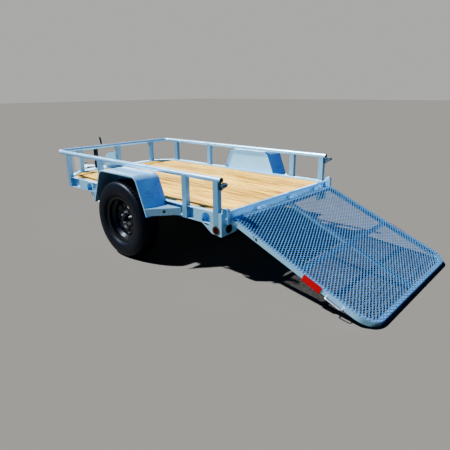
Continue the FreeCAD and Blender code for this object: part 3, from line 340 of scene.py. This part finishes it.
def makeZinc(name, light, dark, scale, contrast, roughness, metallic, dust):
    look = zincLook
    material, tree, shader = startMaterial(name, {"Metallic": metallic})
    zinc = placeGroup(tree, spangleGroup, {"Light Zinc": light, "Dark Zinc": dark, "Crystal Scale": scale,
                                           "Contrast": contrast, "Base Roughness": roughness})
    addDust(tree, shader, dust, look["dustFadesAt"], zinc.outputs["Color"], zinc.outputs["Roughness"])
    addBump(tree, shader, zinc.outputs["Height"], *look["bump"])
    return material


woodLook = {
    "early": (1.0, 0.61, 0.075, 1), "late": (0.15, 0.036, 0.003, 1), "weathering": 0.15,
    "unseen": (0.62, 0.56, 0.50, 1),  # what the deck lends to the metal around it
    "bump": (0.3, 0.0012),
    "gloss": {"Specular IOR Level": 0.02},
}


def makeWood(name):
    look = woodLook
    material, tree, shader = startMaterial(name, look["gloss"])
    wood = placeGroup(tree, grainGroup, {"Early Wood": look["early"], "Late Wood": look["late"],
                                         "Weathering": look["weathering"]})
    seen = addNode(tree, "ShaderNodeLightPath").outputs["Is Camera Ray"]
    colour = addMix(tree, seen, look["unseen"], wood.outputs["Color"])
    tree.links.new(colour, shader.inputs["Base Color"])
    tree.links.new(wood.outputs["Roughness"], shader.inputs["Roughness"])
    addBump(tree, shader, wood.outputs["Height"], *look["bump"])
    return material


# The blue specular tint paints a sky-blue sheen on the black enamel
enamelLook = {
    "lighter": 1.5, "scale": 60.0, "bump": (0.12, 0.0008), "dustFadesAt": 0.5,
    "gloss": {"Specular IOR Level": 0.2, "Specular Tint": (0.55, 0.75, 1.0, 1), "Coat Weight": 0.08,
              "Coat Roughness": 0.12},
}


def makeEnamel(name, colour, roughness, dust):
    look = enamelLook
    material, tree, shader = startMaterial(name, look["gloss"])
    light = tuple(channel * look["lighter"] for channel in colour[:3]) + (1,)
    mould = placeGroup(tree, mouldGroup, {"Dark": colour, "Light": light, "Scale": look["scale"]})
    addDust(tree, shader, dust, look["dustFadesAt"], mould.outputs["Color"], roughness)
    addBump(tree, shader, mould.outputs["Height"], *look["bump"])
    return material


# The blue specular tint paints a sky-blue sheen on the tyres and rubber
rubberLook = {
    "scale": 260.0, "bump": (0.25, 0.0006), "dustFadesAt": 0.9,
    "gloss": {"Specular IOR Level": 0.12, "Specular Tint": (0.45, 0.70, 1.0, 1)},
}


def makeRubber(name, dark, light, roughness, dust):
    look = rubberLook
    material, tree, shader = startMaterial(name, look["gloss"])
    mould = placeGroup(tree, mouldGroup, {"Dark": dark, "Light": light, "Scale": look["scale"]})
    addDust(tree, shader, dust, look["dustFadesAt"], mould.outputs["Color"], roughness)
    addBump(tree, shader, mould.outputs["Height"], *look["bump"])
    return material


lensLook = {
    "prismEdges": (0.1, 0.5), "bump": (0.35, 0.001),
    "gloss": {"Roughness": 0.16, "Specular IOR Level": 0.06},
}


def makeLens(name, bright, deep, prismScale):
    look = lensLook
    material, tree, shader = startMaterial(name, look["gloss"])
    prisms = addNode(tree, "ShaderNodeTexVoronoi", {"feature": "F1", "distance": "CHEBYCHEV"},
                     Vector=addPlace(tree), Scale=prismScale, Randomness=0.0).outputs["Distance"]
    shade = addRange(tree, prisms, *look["prismEdges"])
    tree.links.new(addMix(tree, shade, bright, deep), shader.inputs["Base Color"])
    addBump(tree, shader, prisms, *look["bump"])
    return material


finish = {
    # The strong blue in the galvanised colours below is painted sky reflection over the zinc's own grey
    "galvanised": makeZinc(
        "zincDipped", light=(0.26, 0.60, 0.88, 1), dark=(0.18, 0.45, 0.70, 1),
        scale=150.0, contrast=0.25, roughness=0.25, metallic=0.66, dust=0.004),
    # A darker copy of the zinc for the posts: painted shade
    "postsPaintedShade": makeZinc(
        "zincPostsPaintedShade", light=(0.13, 0.34, 0.54, 1), dark=(0.08, 0.22, 0.38, 1),
        scale=150.0, contrast=0.3, roughness=0.32, metallic=0.66, dust=0.01),
    # A near-black copy of the zinc for the gate latches: painted shade
    "latchesPaintedShade": makeZinc(
        "zincLatchesPaintedShade", light=(0.05, 0.10, 0.14, 1), dark=(0.03, 0.06, 0.09, 1),
        scale=150.0, contrast=0.3, roughness=0.4, metallic=0.66, dust=0.01),
    "galvanisedMesh": makeZinc(
        "zincDippedMesh", light=(0.14, 0.45, 0.80, 1), dark=(0.10, 0.34, 0.64, 1),
        scale=80.0, contrast=0.3, roughness=0.24, metallic=0.80, dust=0.005),
    # A near-black copy of the mesh zinc for the strands' sides and underside: painted shade
    "meshSidesPaintedShade": makeZinc(
        "zincMeshSidesPaintedShade", light=(0.02, 0.05, 0.09, 1), dark=(0.01, 0.03, 0.05, 1),
        scale=80.0, contrast=0.3, roughness=0.4, metallic=0.80, dust=0.005),
    "zinc_steel": makeZinc(
        "zincBright", light=(0.80, 0.82, 0.83, 1), dark=(0.55, 0.58, 0.60, 1),
        scale=200.0, contrast=0.3, roughness=0.24, metallic=0.9, dust=0.05),
    "bare_aluminium": makeZinc(
        "aluminiumSatin", light=(0.82, 0.83, 0.84, 1), dark=(0.66, 0.68, 0.7, 1),
        scale=300.0, contrast=0.2, roughness=0.3, metallic=0.9, dust=0.03),
    "black_steel": makeEnamel("blackEnamel", (0.0015, 0.0015, 0.0022, 1), roughness=0.28, dust=0.003),
    "black_plastic": makeEnamel("blackPlastic", (0.02, 0.02, 0.022, 1), roughness=0.5, dust=0.05),
    "black_rubber": makeRubber(
        "rubberRing", dark=(0.012, 0.012, 0.012, 1), light=(0.03, 0.03, 0.03, 1), roughness=0.7, dust=0.1),
    "tyre": makeRubber(
        "rubberTyre", dark=(0.0010, 0.0012, 0.0022, 1), light=(0.003, 0.0035, 0.006, 1),
        roughness=0.42, dust=0.002),
    "wood": makeWood("pineBoards"),
    "red_lens": makeLens(
        "reflectorRed", bright=(0.34, 0.0001, 0.006, 1), deep=(0.17, 0.0001, 0.003, 1), prismScale=220.0),
    # A much darker copy of the red lens for the lamps: the lens's own red with painted shade over it
    "lampLensPaintedShade": makeLens(
        "lampRedPaintedShade", bright=(0.028, 0.0001, 0.0006, 1), deep=(0.009, 0.0001, 0.0002, 1), prismScale=160.0),
}

slotOf = {subpart["node"]: subpart["material_slot"] for subpart in frame["record"]["subparts"]}
for nodeName, slotName in slotOf.items():
    nodes[nodeName].data.materials.clear()
    nodes[nodeName].data.materials.append(finish[slotName])
# The side and tail lamps take the darker lens copy, painted shade
for nodeName in ("side_lamps", "tail_lamps"):
    nodes[nodeName].data.materials[0] = finish["lampLensPaintedShade"]
print("finishes made:", len(finish))


# Help for new pieces

def addPiece(name, mesh, body, finishName):
    data = bpy.data.meshes.new(name)
    mesh.to_mesh(data)
    mesh.free()
    data.materials.append(finish[finishName])
    piece = bpy.data.objects.new(name, data)
    scene.collection.objects.link(piece)
    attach(piece, body)
    return piece


def shadeByAngle(mesh, degrees):
    for face in mesh.faces:
        face.smooth = True
    for edge in mesh.edges:
        edge.smooth = edge.calc_face_angle(0.0) < math.radians(degrees)


def addCone(mesh, place, radius, topRadius, height, sides):
    return bmesh.ops.create_cone(mesh, cap_ends=True, segments=sides, radius1=radius, radius2=topRadius,
                                 depth=height, matrix=place)


# Folded and welded steel, and the planks, with rounded edges: how wide the rounding is
roundedEdges = {
    "fender_left": 0.0010, "fender_right": 0.0010, "rear_steps": 0.0012, "front_steps": 0.0012,
    "corner_plate_left": 0.0009, "corner_plate_right": 0.0009, "lamp_plates": 0.0009,
    "side_channel_left": 0.0012, "side_channel_right": 0.0012,
    "corner_channels": 0.0012, "front_channel": 0.0012,
    "rear_beam": 0.0012, "posts_left": 0.0010, "posts_right": 0.0010, "posts_front": 0.0010,
    "hinge_brackets": 0.0015, "gate_latches": 0.0012, "deck_planks": 0.0030,
}
# Posts and gate latches take the darker zinc copies, which paint shade on them
paintedShadeFinish = {"posts_left": "postsPaintedShade", "posts_right": "postsPaintedShade", "posts_front": "postsPaintedShade",
          "gate_latches": "latchesPaintedShade"}
rounding = {
    "weld": 0.00003, "segments": 2,
    "flatBelow": 0.6, "smoothBelow": 30, "roundAbove": 40,  # degrees
}


def softenedCopy(nodeName, body, edgeWidth, finishName=None):
    # The CAD piece again, with its edges rounded
    mesh = bmesh.new()
    mesh.from_mesh(nodes[nodeName].data)
    bmesh.ops.remove_doubles(mesh, verts=mesh.verts, dist=rounding["weld"])
    bmesh.ops.dissolve_limit(mesh, angle_limit=math.radians(rounding["flatBelow"]), verts=mesh.verts,
                             edges=mesh.edges)
    shadeByAngle(mesh, rounding["smoothBelow"])
    piece = addPiece(nodeName + "_finished", mesh, body, finishName or slotOf[nodeName])
    bevel = piece.modifiers.new("roundedEdges", "BEVEL")
    bevel.width = edgeWidth
    bevel.segments = rounding["segments"]
    bevel.limit_method = "ANGLE"
    bevel.angle_limit = math.radians(rounding["roundAbove"])
    bevel.harden_normals = True
    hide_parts(nodeName)


for nodeName, edgeWidth in roundedEdges.items():
    softenedCopy(nodeName, "trailer", edgeWidth, paintedShadeFinish.get(nodeName))
print("edges rounded:", len(roundedEdges))


# Expanded steel mesh of the ramp
rampMesh = {
    "hinge": (shiftX - 0.032, 0.514),  # X and Z of the hinge line
    "slope": 22.408,  # degrees
    "start": 0.028, "end": 1.292, "halfWidth": 0.754, "tipCorner": 0.142,
    "longWay": 0.0533, "shortWay": 0.0252, "strand": 0.0056, "gauge": 0.0034,
    "tilt": -0.0020,  # how far the edges of an opening lean out of the sheet
    "height": 0.0182,  # above the hinge line, on the frame's upper flanges
    "cornerCuts": 9,
    "spareCells": 4,
    "leastOpening": 0.22,  # of the long way times the short way; a cell cut smaller than this stays closed
    "topAbove": 0.4,  # faces that look up more than this are the top, all others take the near-black finish that paints shade on the strands' sides and underside
}
rampPlace = (Matrix.Translation((rampMesh["hinge"][0], 0, rampMesh["hinge"][1]))
             @ Matrix.Rotation(math.radians(-rampMesh["slope"]), 4, "Y"))


def cutAway(mesh, point, outward):
    bmesh.ops.bisect_plane(mesh, geom=mesh.verts[:] + mesh.edges[:] + mesh.faces[:], dist=1e-6,
                           plane_co=point, plane_no=outward, clear_outer=True)


def trimToFrame(mesh):
    size = rampMesh
    cutAway(mesh, (-size["start"], 0, 0), (1, 0, 0))
    cutAway(mesh, (-size["end"], 0, 0), (-1, 0, 0))
    for side in (1, -1):
        cutAway(mesh, (0, side * size["halfWidth"], 0), (0, side, 0))
        corner = Vector((-size["end"] + size["tipCorner"], side * (size["halfWidth"] - size["tipCorner"]), 0))
        for i in range(size["cornerCuts"]):
            angle = math.radians(90 * (i + 0.5) / size["cornerCuts"])
            outward = Vector((-math.cos(angle), side * math.sin(angle), 0))
            cutAway(mesh, corner + outward * size["tipCorner"], outward)


def makeDiamonds(mesh):
    # A grid turned by 45 degrees and scaled to the two ways, over the whole frame
    size = rampMesh
    reach = size["halfWidth"] / size["longWay"] + size["end"] / size["shortWay"] / 2
    cells = 2 * int(reach + size["spareCells"])
    bmesh.ops.create_grid(mesh, x_segments=cells, y_segments=cells, size=cells / 2)
    bmesh.ops.rotate(mesh, verts=mesh.verts, cent=(0, 0, 0), matrix=Matrix.Rotation(math.radians(45), 3, "Z"))
    bmesh.ops.scale(mesh, verts=mesh.verts,
                    vec=(size["shortWay"] / math.sqrt(2), size["longWay"] / math.sqrt(2), 1))
    middle = (size["start"] + size["end"]) / 2
    bmesh.ops.translate(mesh, verts=mesh.verts, vec=(-middle, 0, 0))


def openCells(mesh):
    # Strands round each cell, with their edges leaning out of the sheet
    size = rampMesh
    leastArea = size["longWay"] * size["shortWay"] * size["leastOpening"]
    openings = [face for face in mesh.faces if face.calc_area() > leastArea]
    bmesh.ops.inset_individual(mesh, faces=openings, thickness=size["strand"] / 2, use_even_offset=True)
    leans = {}
    for face in openings:
        centre = face.calc_center_median()
        reach = max(abs(vert.co.x - centre.x) for vert in face.verts)
        for vert in face.verts:
            leans[vert] = (vert.co.x - centre.x) / reach if reach > 0 else 0
    for vert, lean in leans.items():
        vert.co.z -= lean * size["tilt"]
    bmesh.ops.delete(mesh, geom=openings, context="FACES_ONLY")


def makeRampMesh():
    size = rampMesh
    mesh = bmesh.new()
    makeDiamonds(mesh)
    trimToFrame(mesh)
    openCells(mesh)
    trimToFrame(mesh)  # again, for the strands that run past a cut cell
    lower = bmesh.ops.extrude_face_region(mesh, geom=mesh.faces[:])["geom"]
    bmesh.ops.translate(mesh, verts=[part for part in lower if isinstance(part, bmesh.types.BMVert)],
                        vec=(0, 0, -size["gauge"]))
    bmesh.ops.recalc_face_normals(mesh, faces=mesh.faces)
    bmesh.ops.translate(mesh, verts=mesh.verts, vec=(0, 0, size["height"]))
    bmesh.ops.transform(mesh, matrix=rampPlace, verts=mesh.verts)
    piece = addPiece("ramp_expanded_mesh", mesh, "ramp", "galvanisedMesh")
    # The strands' sides and underside get a second, near-black zinc: painted shade
    piece.data.materials.append(finish["meshSidesPaintedShade"])
    up = rampPlace.to_3x3() @ Vector((0, 0, 1))
    for face in piece.data.polygons:
        face.material_index = 0 if face.normal.dot(up) > size["topAbove"] else 1
    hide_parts("ramp_mesh")
    print("ramp mesh faces:", len(piece.data.polygons))


makeRampMesh()


# Tyres with ribs and blocks
tyreSize = {
    "wheel": (shiftX + 1.033534, 0.932, 0.353),
    # Half of the wall from the bead to the shoulder, as radius and distance from the middle
    "wall": [(0.1900, 0.0640), (0.1900, 0.0690), (0.2060, 0.0720), (0.2080, 0.0790), (0.2115, 0.0815),
             (0.2150, 0.0815), (0.2180, 0.0850), (0.2310, 0.0935), (0.2345, 0.0965), (0.2385, 0.0975),
             (0.2420, 0.0965), (0.2560, 0.1000), (0.2700, 0.1018), (0.2730, 0.1008), (0.2760, 0.1020),
             (0.2900, 0.1015), (0.2930, 0.1000), (0.2960, 0.1010), (0.3100, 0.0985), (0.3220, 0.0940),
             (0.3300, 0.0895)],
    "segments": 240, "treadDepth": 0.0075, "crown": 0.353, "crownDrop": 0.009, "treadHalf": 0.080,
    "treadFrom": 0.3325,  # faces further out than this belong to the tread
    "ribs": [(-0.080, -0.050), (-0.043, -0.018), (-0.011, 0.011), (0.018, 0.043), (0.050, 0.080)],
    "gapEvery": [4, 8, 0, 8, 4],  # one segment of this many is a cross groove; 0 is a plain rib
    "gapShift": 2,  # segments from one rib's cross grooves to the next rib's
    "smoothBelow": 28,
}


def treadRadius(y):
    return tyreSize["crown"] - tyreSize["crownDrop"] * (y / tyreSize["treadHalf"]) ** 2


def tyreProfile():
    half = tyreSize["wall"]
    ribEdges = sorted((y for rib in tyreSize["ribs"] for y in rib), reverse=True)
    tread = [(treadRadius(y) - tyreSize["treadDepth"], y) for y in ribEdges]
    return half + tread + [(radius, -y) for radius, y in reversed(half)]


def inBlock(segment, y):
    for i, (low, high) in enumerate(tyreSize["ribs"]):
        every = tyreSize["gapEvery"][i]
        if low < y < high:
            return every == 0 or (segment + tyreSize["gapShift"] * i) % every != 0
    return False


def makeTyre(side, name, body):
    size = tyreSize
    centre = Vector((size["wheel"][0], side * size["wheel"][1], size["wheel"][2]))
    mesh = bmesh.new()
    loop = [mesh.verts.new((radius, y, 0)) for radius, y in tyreProfile()]
    edges = [mesh.edges.new((loop[i], loop[(i + 1) % len(loop)])) for i in range(len(loop))]
    bmesh.ops.spin(mesh, geom=loop + edges, cent=(0, 0, 0), axis=(0, 1, 0), angle=2 * math.pi,
                   steps=size["segments"], use_merge=True)
    bmesh.ops.recalc_face_normals(mesh, faces=mesh.faces)
    step = 2 * math.pi / size["segments"]
    blocks = []
    for face in mesh.faces:
        middle = face.calc_center_median()
        segment = int(math.atan2(middle.z, middle.x) / step + size["segments"])
        if math.hypot(middle.x, middle.z) >= size["treadFrom"] and inBlock(segment, middle.y):
            blocks.append(face)
    raised = bmesh.ops.extrude_face_region(mesh, geom=blocks)["geom"]
    for vert in [part for part in raised if isinstance(part, bmesh.types.BMVert)]:
        radius = math.hypot(vert.co.x, vert.co.z)
        grow = (radius + size["treadDepth"]) / radius
        vert.co = Vector((vert.co.x * grow, vert.co.y, vert.co.z * grow))
    bmesh.ops.delete(mesh, geom=[face for face in blocks if face.is_valid], context="FACES_ONLY")
    bmesh.ops.recalc_face_normals(mesh, faces=mesh.faces)
    shadeByAngle(mesh, size["smoothBelow"])
    bmesh.ops.translate(mesh, verts=mesh.verts, vec=centre)
    piece = addPiece(name, mesh, body, "tyre")
    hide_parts("tyre_left" if side > 0 else "tyre_right")


# Wheel nuts on their studs
wheelTrim = {
    "studCircle": 0.05715, "studs": 5, "studLength": 0.008, "studRadius": 0.0058, "studSides": 12,
    "discFace": 0.006, "nutAcross": 0.0110, "nutLength": 0.019,
    "nutDome": 0.35, "washerWide": 1.25,  # of nutAcross
    "washerThick": 0.18,  # of nutLength
    "washerSides": 20, "domeSegments": 2, "smoothBelow": 30,
}


def addNut(mesh, place, axis):
    # Hexagon with a rounded top, on its washer
    size = wheelTrim
    across, length = size["nutAcross"], size["nutLength"]
    thick = length * size["washerThick"]
    wide = across * size["washerWide"]
    washer = addCone(mesh, Matrix.Translation((0, 0, thick / 2)), wide, wide, thick, size["washerSides"])
    head = addCone(mesh, Matrix.Translation((0, 0, (length + thick) / 2)), across, across, length - thick, 6)
    top = {edge for vert in head["verts"] for edge in vert.link_edges
           if all(abs(end.co.z - length) < 1e-6 for end in edge.verts)}
    bevelled = bmesh.ops.bevel(mesh, geom=list(top), offset=across * size["nutDome"], offset_type="OFFSET",
                               segments=size["domeSegments"], profile=0.5, affect="EDGES", material=-1)
    verts = set(washer["verts"]) | {vert for vert in head["verts"] if vert.is_valid} | set(bevelled["verts"])
    turnTo = Vector(axis).to_track_quat("Z", "Y").to_matrix().to_4x4()
    bmesh.ops.transform(mesh, matrix=Matrix.Translation(place) @ turnTo, verts=list(verts))


def makeWheelTrim(side, body):
    size = wheelTrim
    x, y, z = tyreSize["wheel"]
    mesh = bmesh.new()
    for i in range(size["studs"]):
        angle = 2 * math.pi * i / size["studs"] + math.pi / 2
        spotX = x + math.cos(angle) * size["studCircle"]
        spotZ = z + math.sin(angle) * size["studCircle"]
        addNut(mesh, (spotX, side * (y + size["discFace"]), spotZ), (0, side, 0))
        end = Matrix.Translation((spotX, side * (y + size["discFace"] + size["nutLength"]), spotZ))
        stud = end @ Matrix.Rotation(math.radians(90), 4, "X")
        addCone(mesh, stud, size["studRadius"], size["studRadius"], size["studLength"], size["studSides"])
    shadeByAngle(mesh, size["smoothBelow"])
    addPiece("wheel_nuts_" + body[6:], mesh, body, "zinc_steel")


for side, body in ((1, "wheel_left"), (-1, "wheel_right")):
    makeTyre(side, "tyre_with_tread_" + body[6:], body)
    makeWheelTrim(side, body)
print("wheels dressed")


# Deck screws over the cross members and at both ends
deckScrews = {
    "shares": [0.006, 0.17, 0.42, 0.65, 0.86, 0.994],  # of the deck's length
    "length": 2.463, "rear": 0.004, "top": 0.536,
    "inward": 0.012,  # from each share, towards the deck's middle
    "boards": 8, "pitch": 0.189875, "first": -0.6645, "spread": 0.052,
    "obliqueFrom": 1.1, "obliqueHalf": 0.56,  # at the cut-off front corners: none further out than this
    "radius": 0.0048, "taper": 0.8, "headHeight": 0.0016, "proud": 0.0002, "sides": 12, "smoothBelow": 30,
}


def makeDeckScrews():
    size = deckScrews
    mesh = bmesh.new()
    for share in size["shares"]:
        x = shiftX + size["rear"] + share * size["length"] + size["inward"] * (1 if share < 0.5 else -1)
        for i in range(size["boards"]):
            for offset in (-size["spread"], size["spread"]):
                y = size["first"] + i * size["pitch"] + offset
                if x > size["obliqueFrom"] and abs(y) > size["obliqueHalf"]:
                    continue
                addCone(mesh, Matrix.Translation((x, y, size["top"] + size["proud"])), size["radius"],
                        size["radius"] * size["taper"], size["headHeight"], size["sides"])
    shadeByAngle(mesh, size["smoothBelow"])
    addPiece("deck_screws", mesh, "trailer", "zinc_steel")


makeDeckScrews()
print("deck screwed down")


# Black rubber plugs in the wire holes of the fender steps and on the ramp's side tubes: dark discs that stand
# in for the shade inside the holes, painted shade
plugSizes = {
    "height": 0.004, "out": 0.0022, "taper": 0.7, "sides": 24, "smoothBelow": 50,
    "stepRadius": 0.0135, "stepZ": 0.4943,
    "stepInner": (0.4525, 0.804), "stepOuter": (0.6425, 1.029),  # the two ends of a rear step's skirt
    "stepShare": 0.48,  # of the way from the inner end
    "fenderMiddle": 1.0185,  # the front steps are the rear ones mirrored about this
    "rampRadius": 0.0115, "rampAlong": 0.288, "rampHalf": 0.757,
}


def addPlug(mesh, place, radius):
    size = plugSizes
    addCone(mesh, place, radius, radius * size["taper"], size["height"], size["sides"])


def makeStepShadePlugs():
    size = plugSizes
    inner, outer = Vector(size["stepInner"]), Vector(size["stepOuter"])
    spot = inner.lerp(outer, size["stepShare"])
    along = (outer - inner).normalized()
    mesh = bmesh.new()
    for front in (1, -1):
        for side in (1, -1):
            x = spot.x if front > 0 else 2 * size["fenderMiddle"] - spot.x
            outward = Vector((-along.y * front, along.x * side, 0))
            place = Vector((shiftX + x, spot.y * side, size["stepZ"])) + outward * size["out"]
            turnTo = outward.to_track_quat("Z", "Y").to_matrix().to_4x4()
            addPlug(mesh, Matrix.Translation(place) @ turnTo, size["stepRadius"])
    shadeByAngle(mesh, size["smoothBelow"])
    addPiece("step_hole_shade_plugs", mesh, "trailer", "black_rubber")


def makeRampShadePlugs():
    size = plugSizes
    mesh = bmesh.new()
    for side in (1, -1):
        place = Matrix.Translation((-size["rampAlong"], side * (size["rampHalf"] + size["out"]), 0))
        addPlug(mesh, place @ Matrix.Rotation(math.radians(-90 * side), 4, "X"), size["rampRadius"])
    bmesh.ops.transform(mesh, matrix=rampPlace, verts=mesh.verts)
    shadeByAngle(mesh, size["smoothBelow"])
    addPiece("ramp_side_shade_plugs", mesh, "ramp", "black_rubber")


makeStepShadePlugs()
makeRampShadePlugs()
print("plugs fitted")


# Plain floor, soft studio light
studio = {
    "floorHalf": 60,
    "floorLook": {"Base Color": (0.098, 0.097, 0.095, 1), "Roughness": 0.9, "Specular IOR Level": 0},
    "backdrop": (0.50, 0.50, 0.49, 1), "sky": (0.027, 0.163, 0.61, 1), "skyOnRough": 0.032,
    "keyPlace": (5.56, 4.34, 10.1), "keyPower": 16.0, "keyAngle": 2.0, "keyColour": (1.0, 0.97, 0.92),
    "cardPlace": (9.0, -8.0, 1.8), "cardPower": 2200.0, "cardWide": 15.0, "cardHigh": 3.0,
    "cardColour": (0.60, 0.86, 1.0),
    "target": (0, 0, 0.4),
}


def makeFloor():
    mesh = bmesh.new()
    bmesh.ops.create_grid(mesh, x_segments=1, y_segments=1, size=studio["floorHalf"])
    data = bpy.data.meshes.new("floor")
    mesh.to_mesh(data)
    mesh.free()
    floor = bpy.data.objects.new("floor", data)
    scene.collection.objects.link(floor)
    data.materials.append(startMaterial("floorPaint", studio["floorLook"])[0])


def makeLight(name, kind):
    data = bpy.data.lights.new(name, kind)
    data.energy = studio[name + "Power"]
    data.color = studio[name + "Colour"]
    light = bpy.data.objects.new(name, data)
    scene.collection.objects.link(light)
    place = Vector(studio[name + "Place"])
    aim = (Vector(studio["target"]) - place).to_track_quat("-Z", "Y").to_matrix().to_4x4()
    light.matrix_world = Matrix.Translation(place) @ aim
    return light


def makeLights():
    makeLight("key", "SUN").data.angle = math.radians(studio["keyAngle"])
    card = makeLight("card", "AREA")
    card.data.shape = "RECTANGLE"
    card.data.size = studio["cardWide"]
    card.data.size_y = studio["cardHigh"]
    card.visible_diffuse = False  # it only shines in glossy metal


def makeSky():
    # A pale backdrop to the camera, blue to all other rays, and faint on rough surfaces
    world = bpy.data.worlds.new("studioSky")
    world.use_nodes = True
    tree = world.node_tree
    background = tree.nodes["Background"]
    ray = addNode(tree, "ShaderNodeLightPath").outputs
    colour = addMix(tree, ray["Is Camera Ray"], studio["sky"], studio["backdrop"])
    tree.links.new(colour, background.inputs["Color"])
    strength = addRange(tree, ray["Is Diffuse Ray"], 0.0, 1.0, 1.0, studio["skyOnRough"])
    tree.links.new(strength, background.inputs["Strength"])
    scene.world = world


makeFloor()
makeLights()
makeSky()
print("studio lit")

print("scene finished")
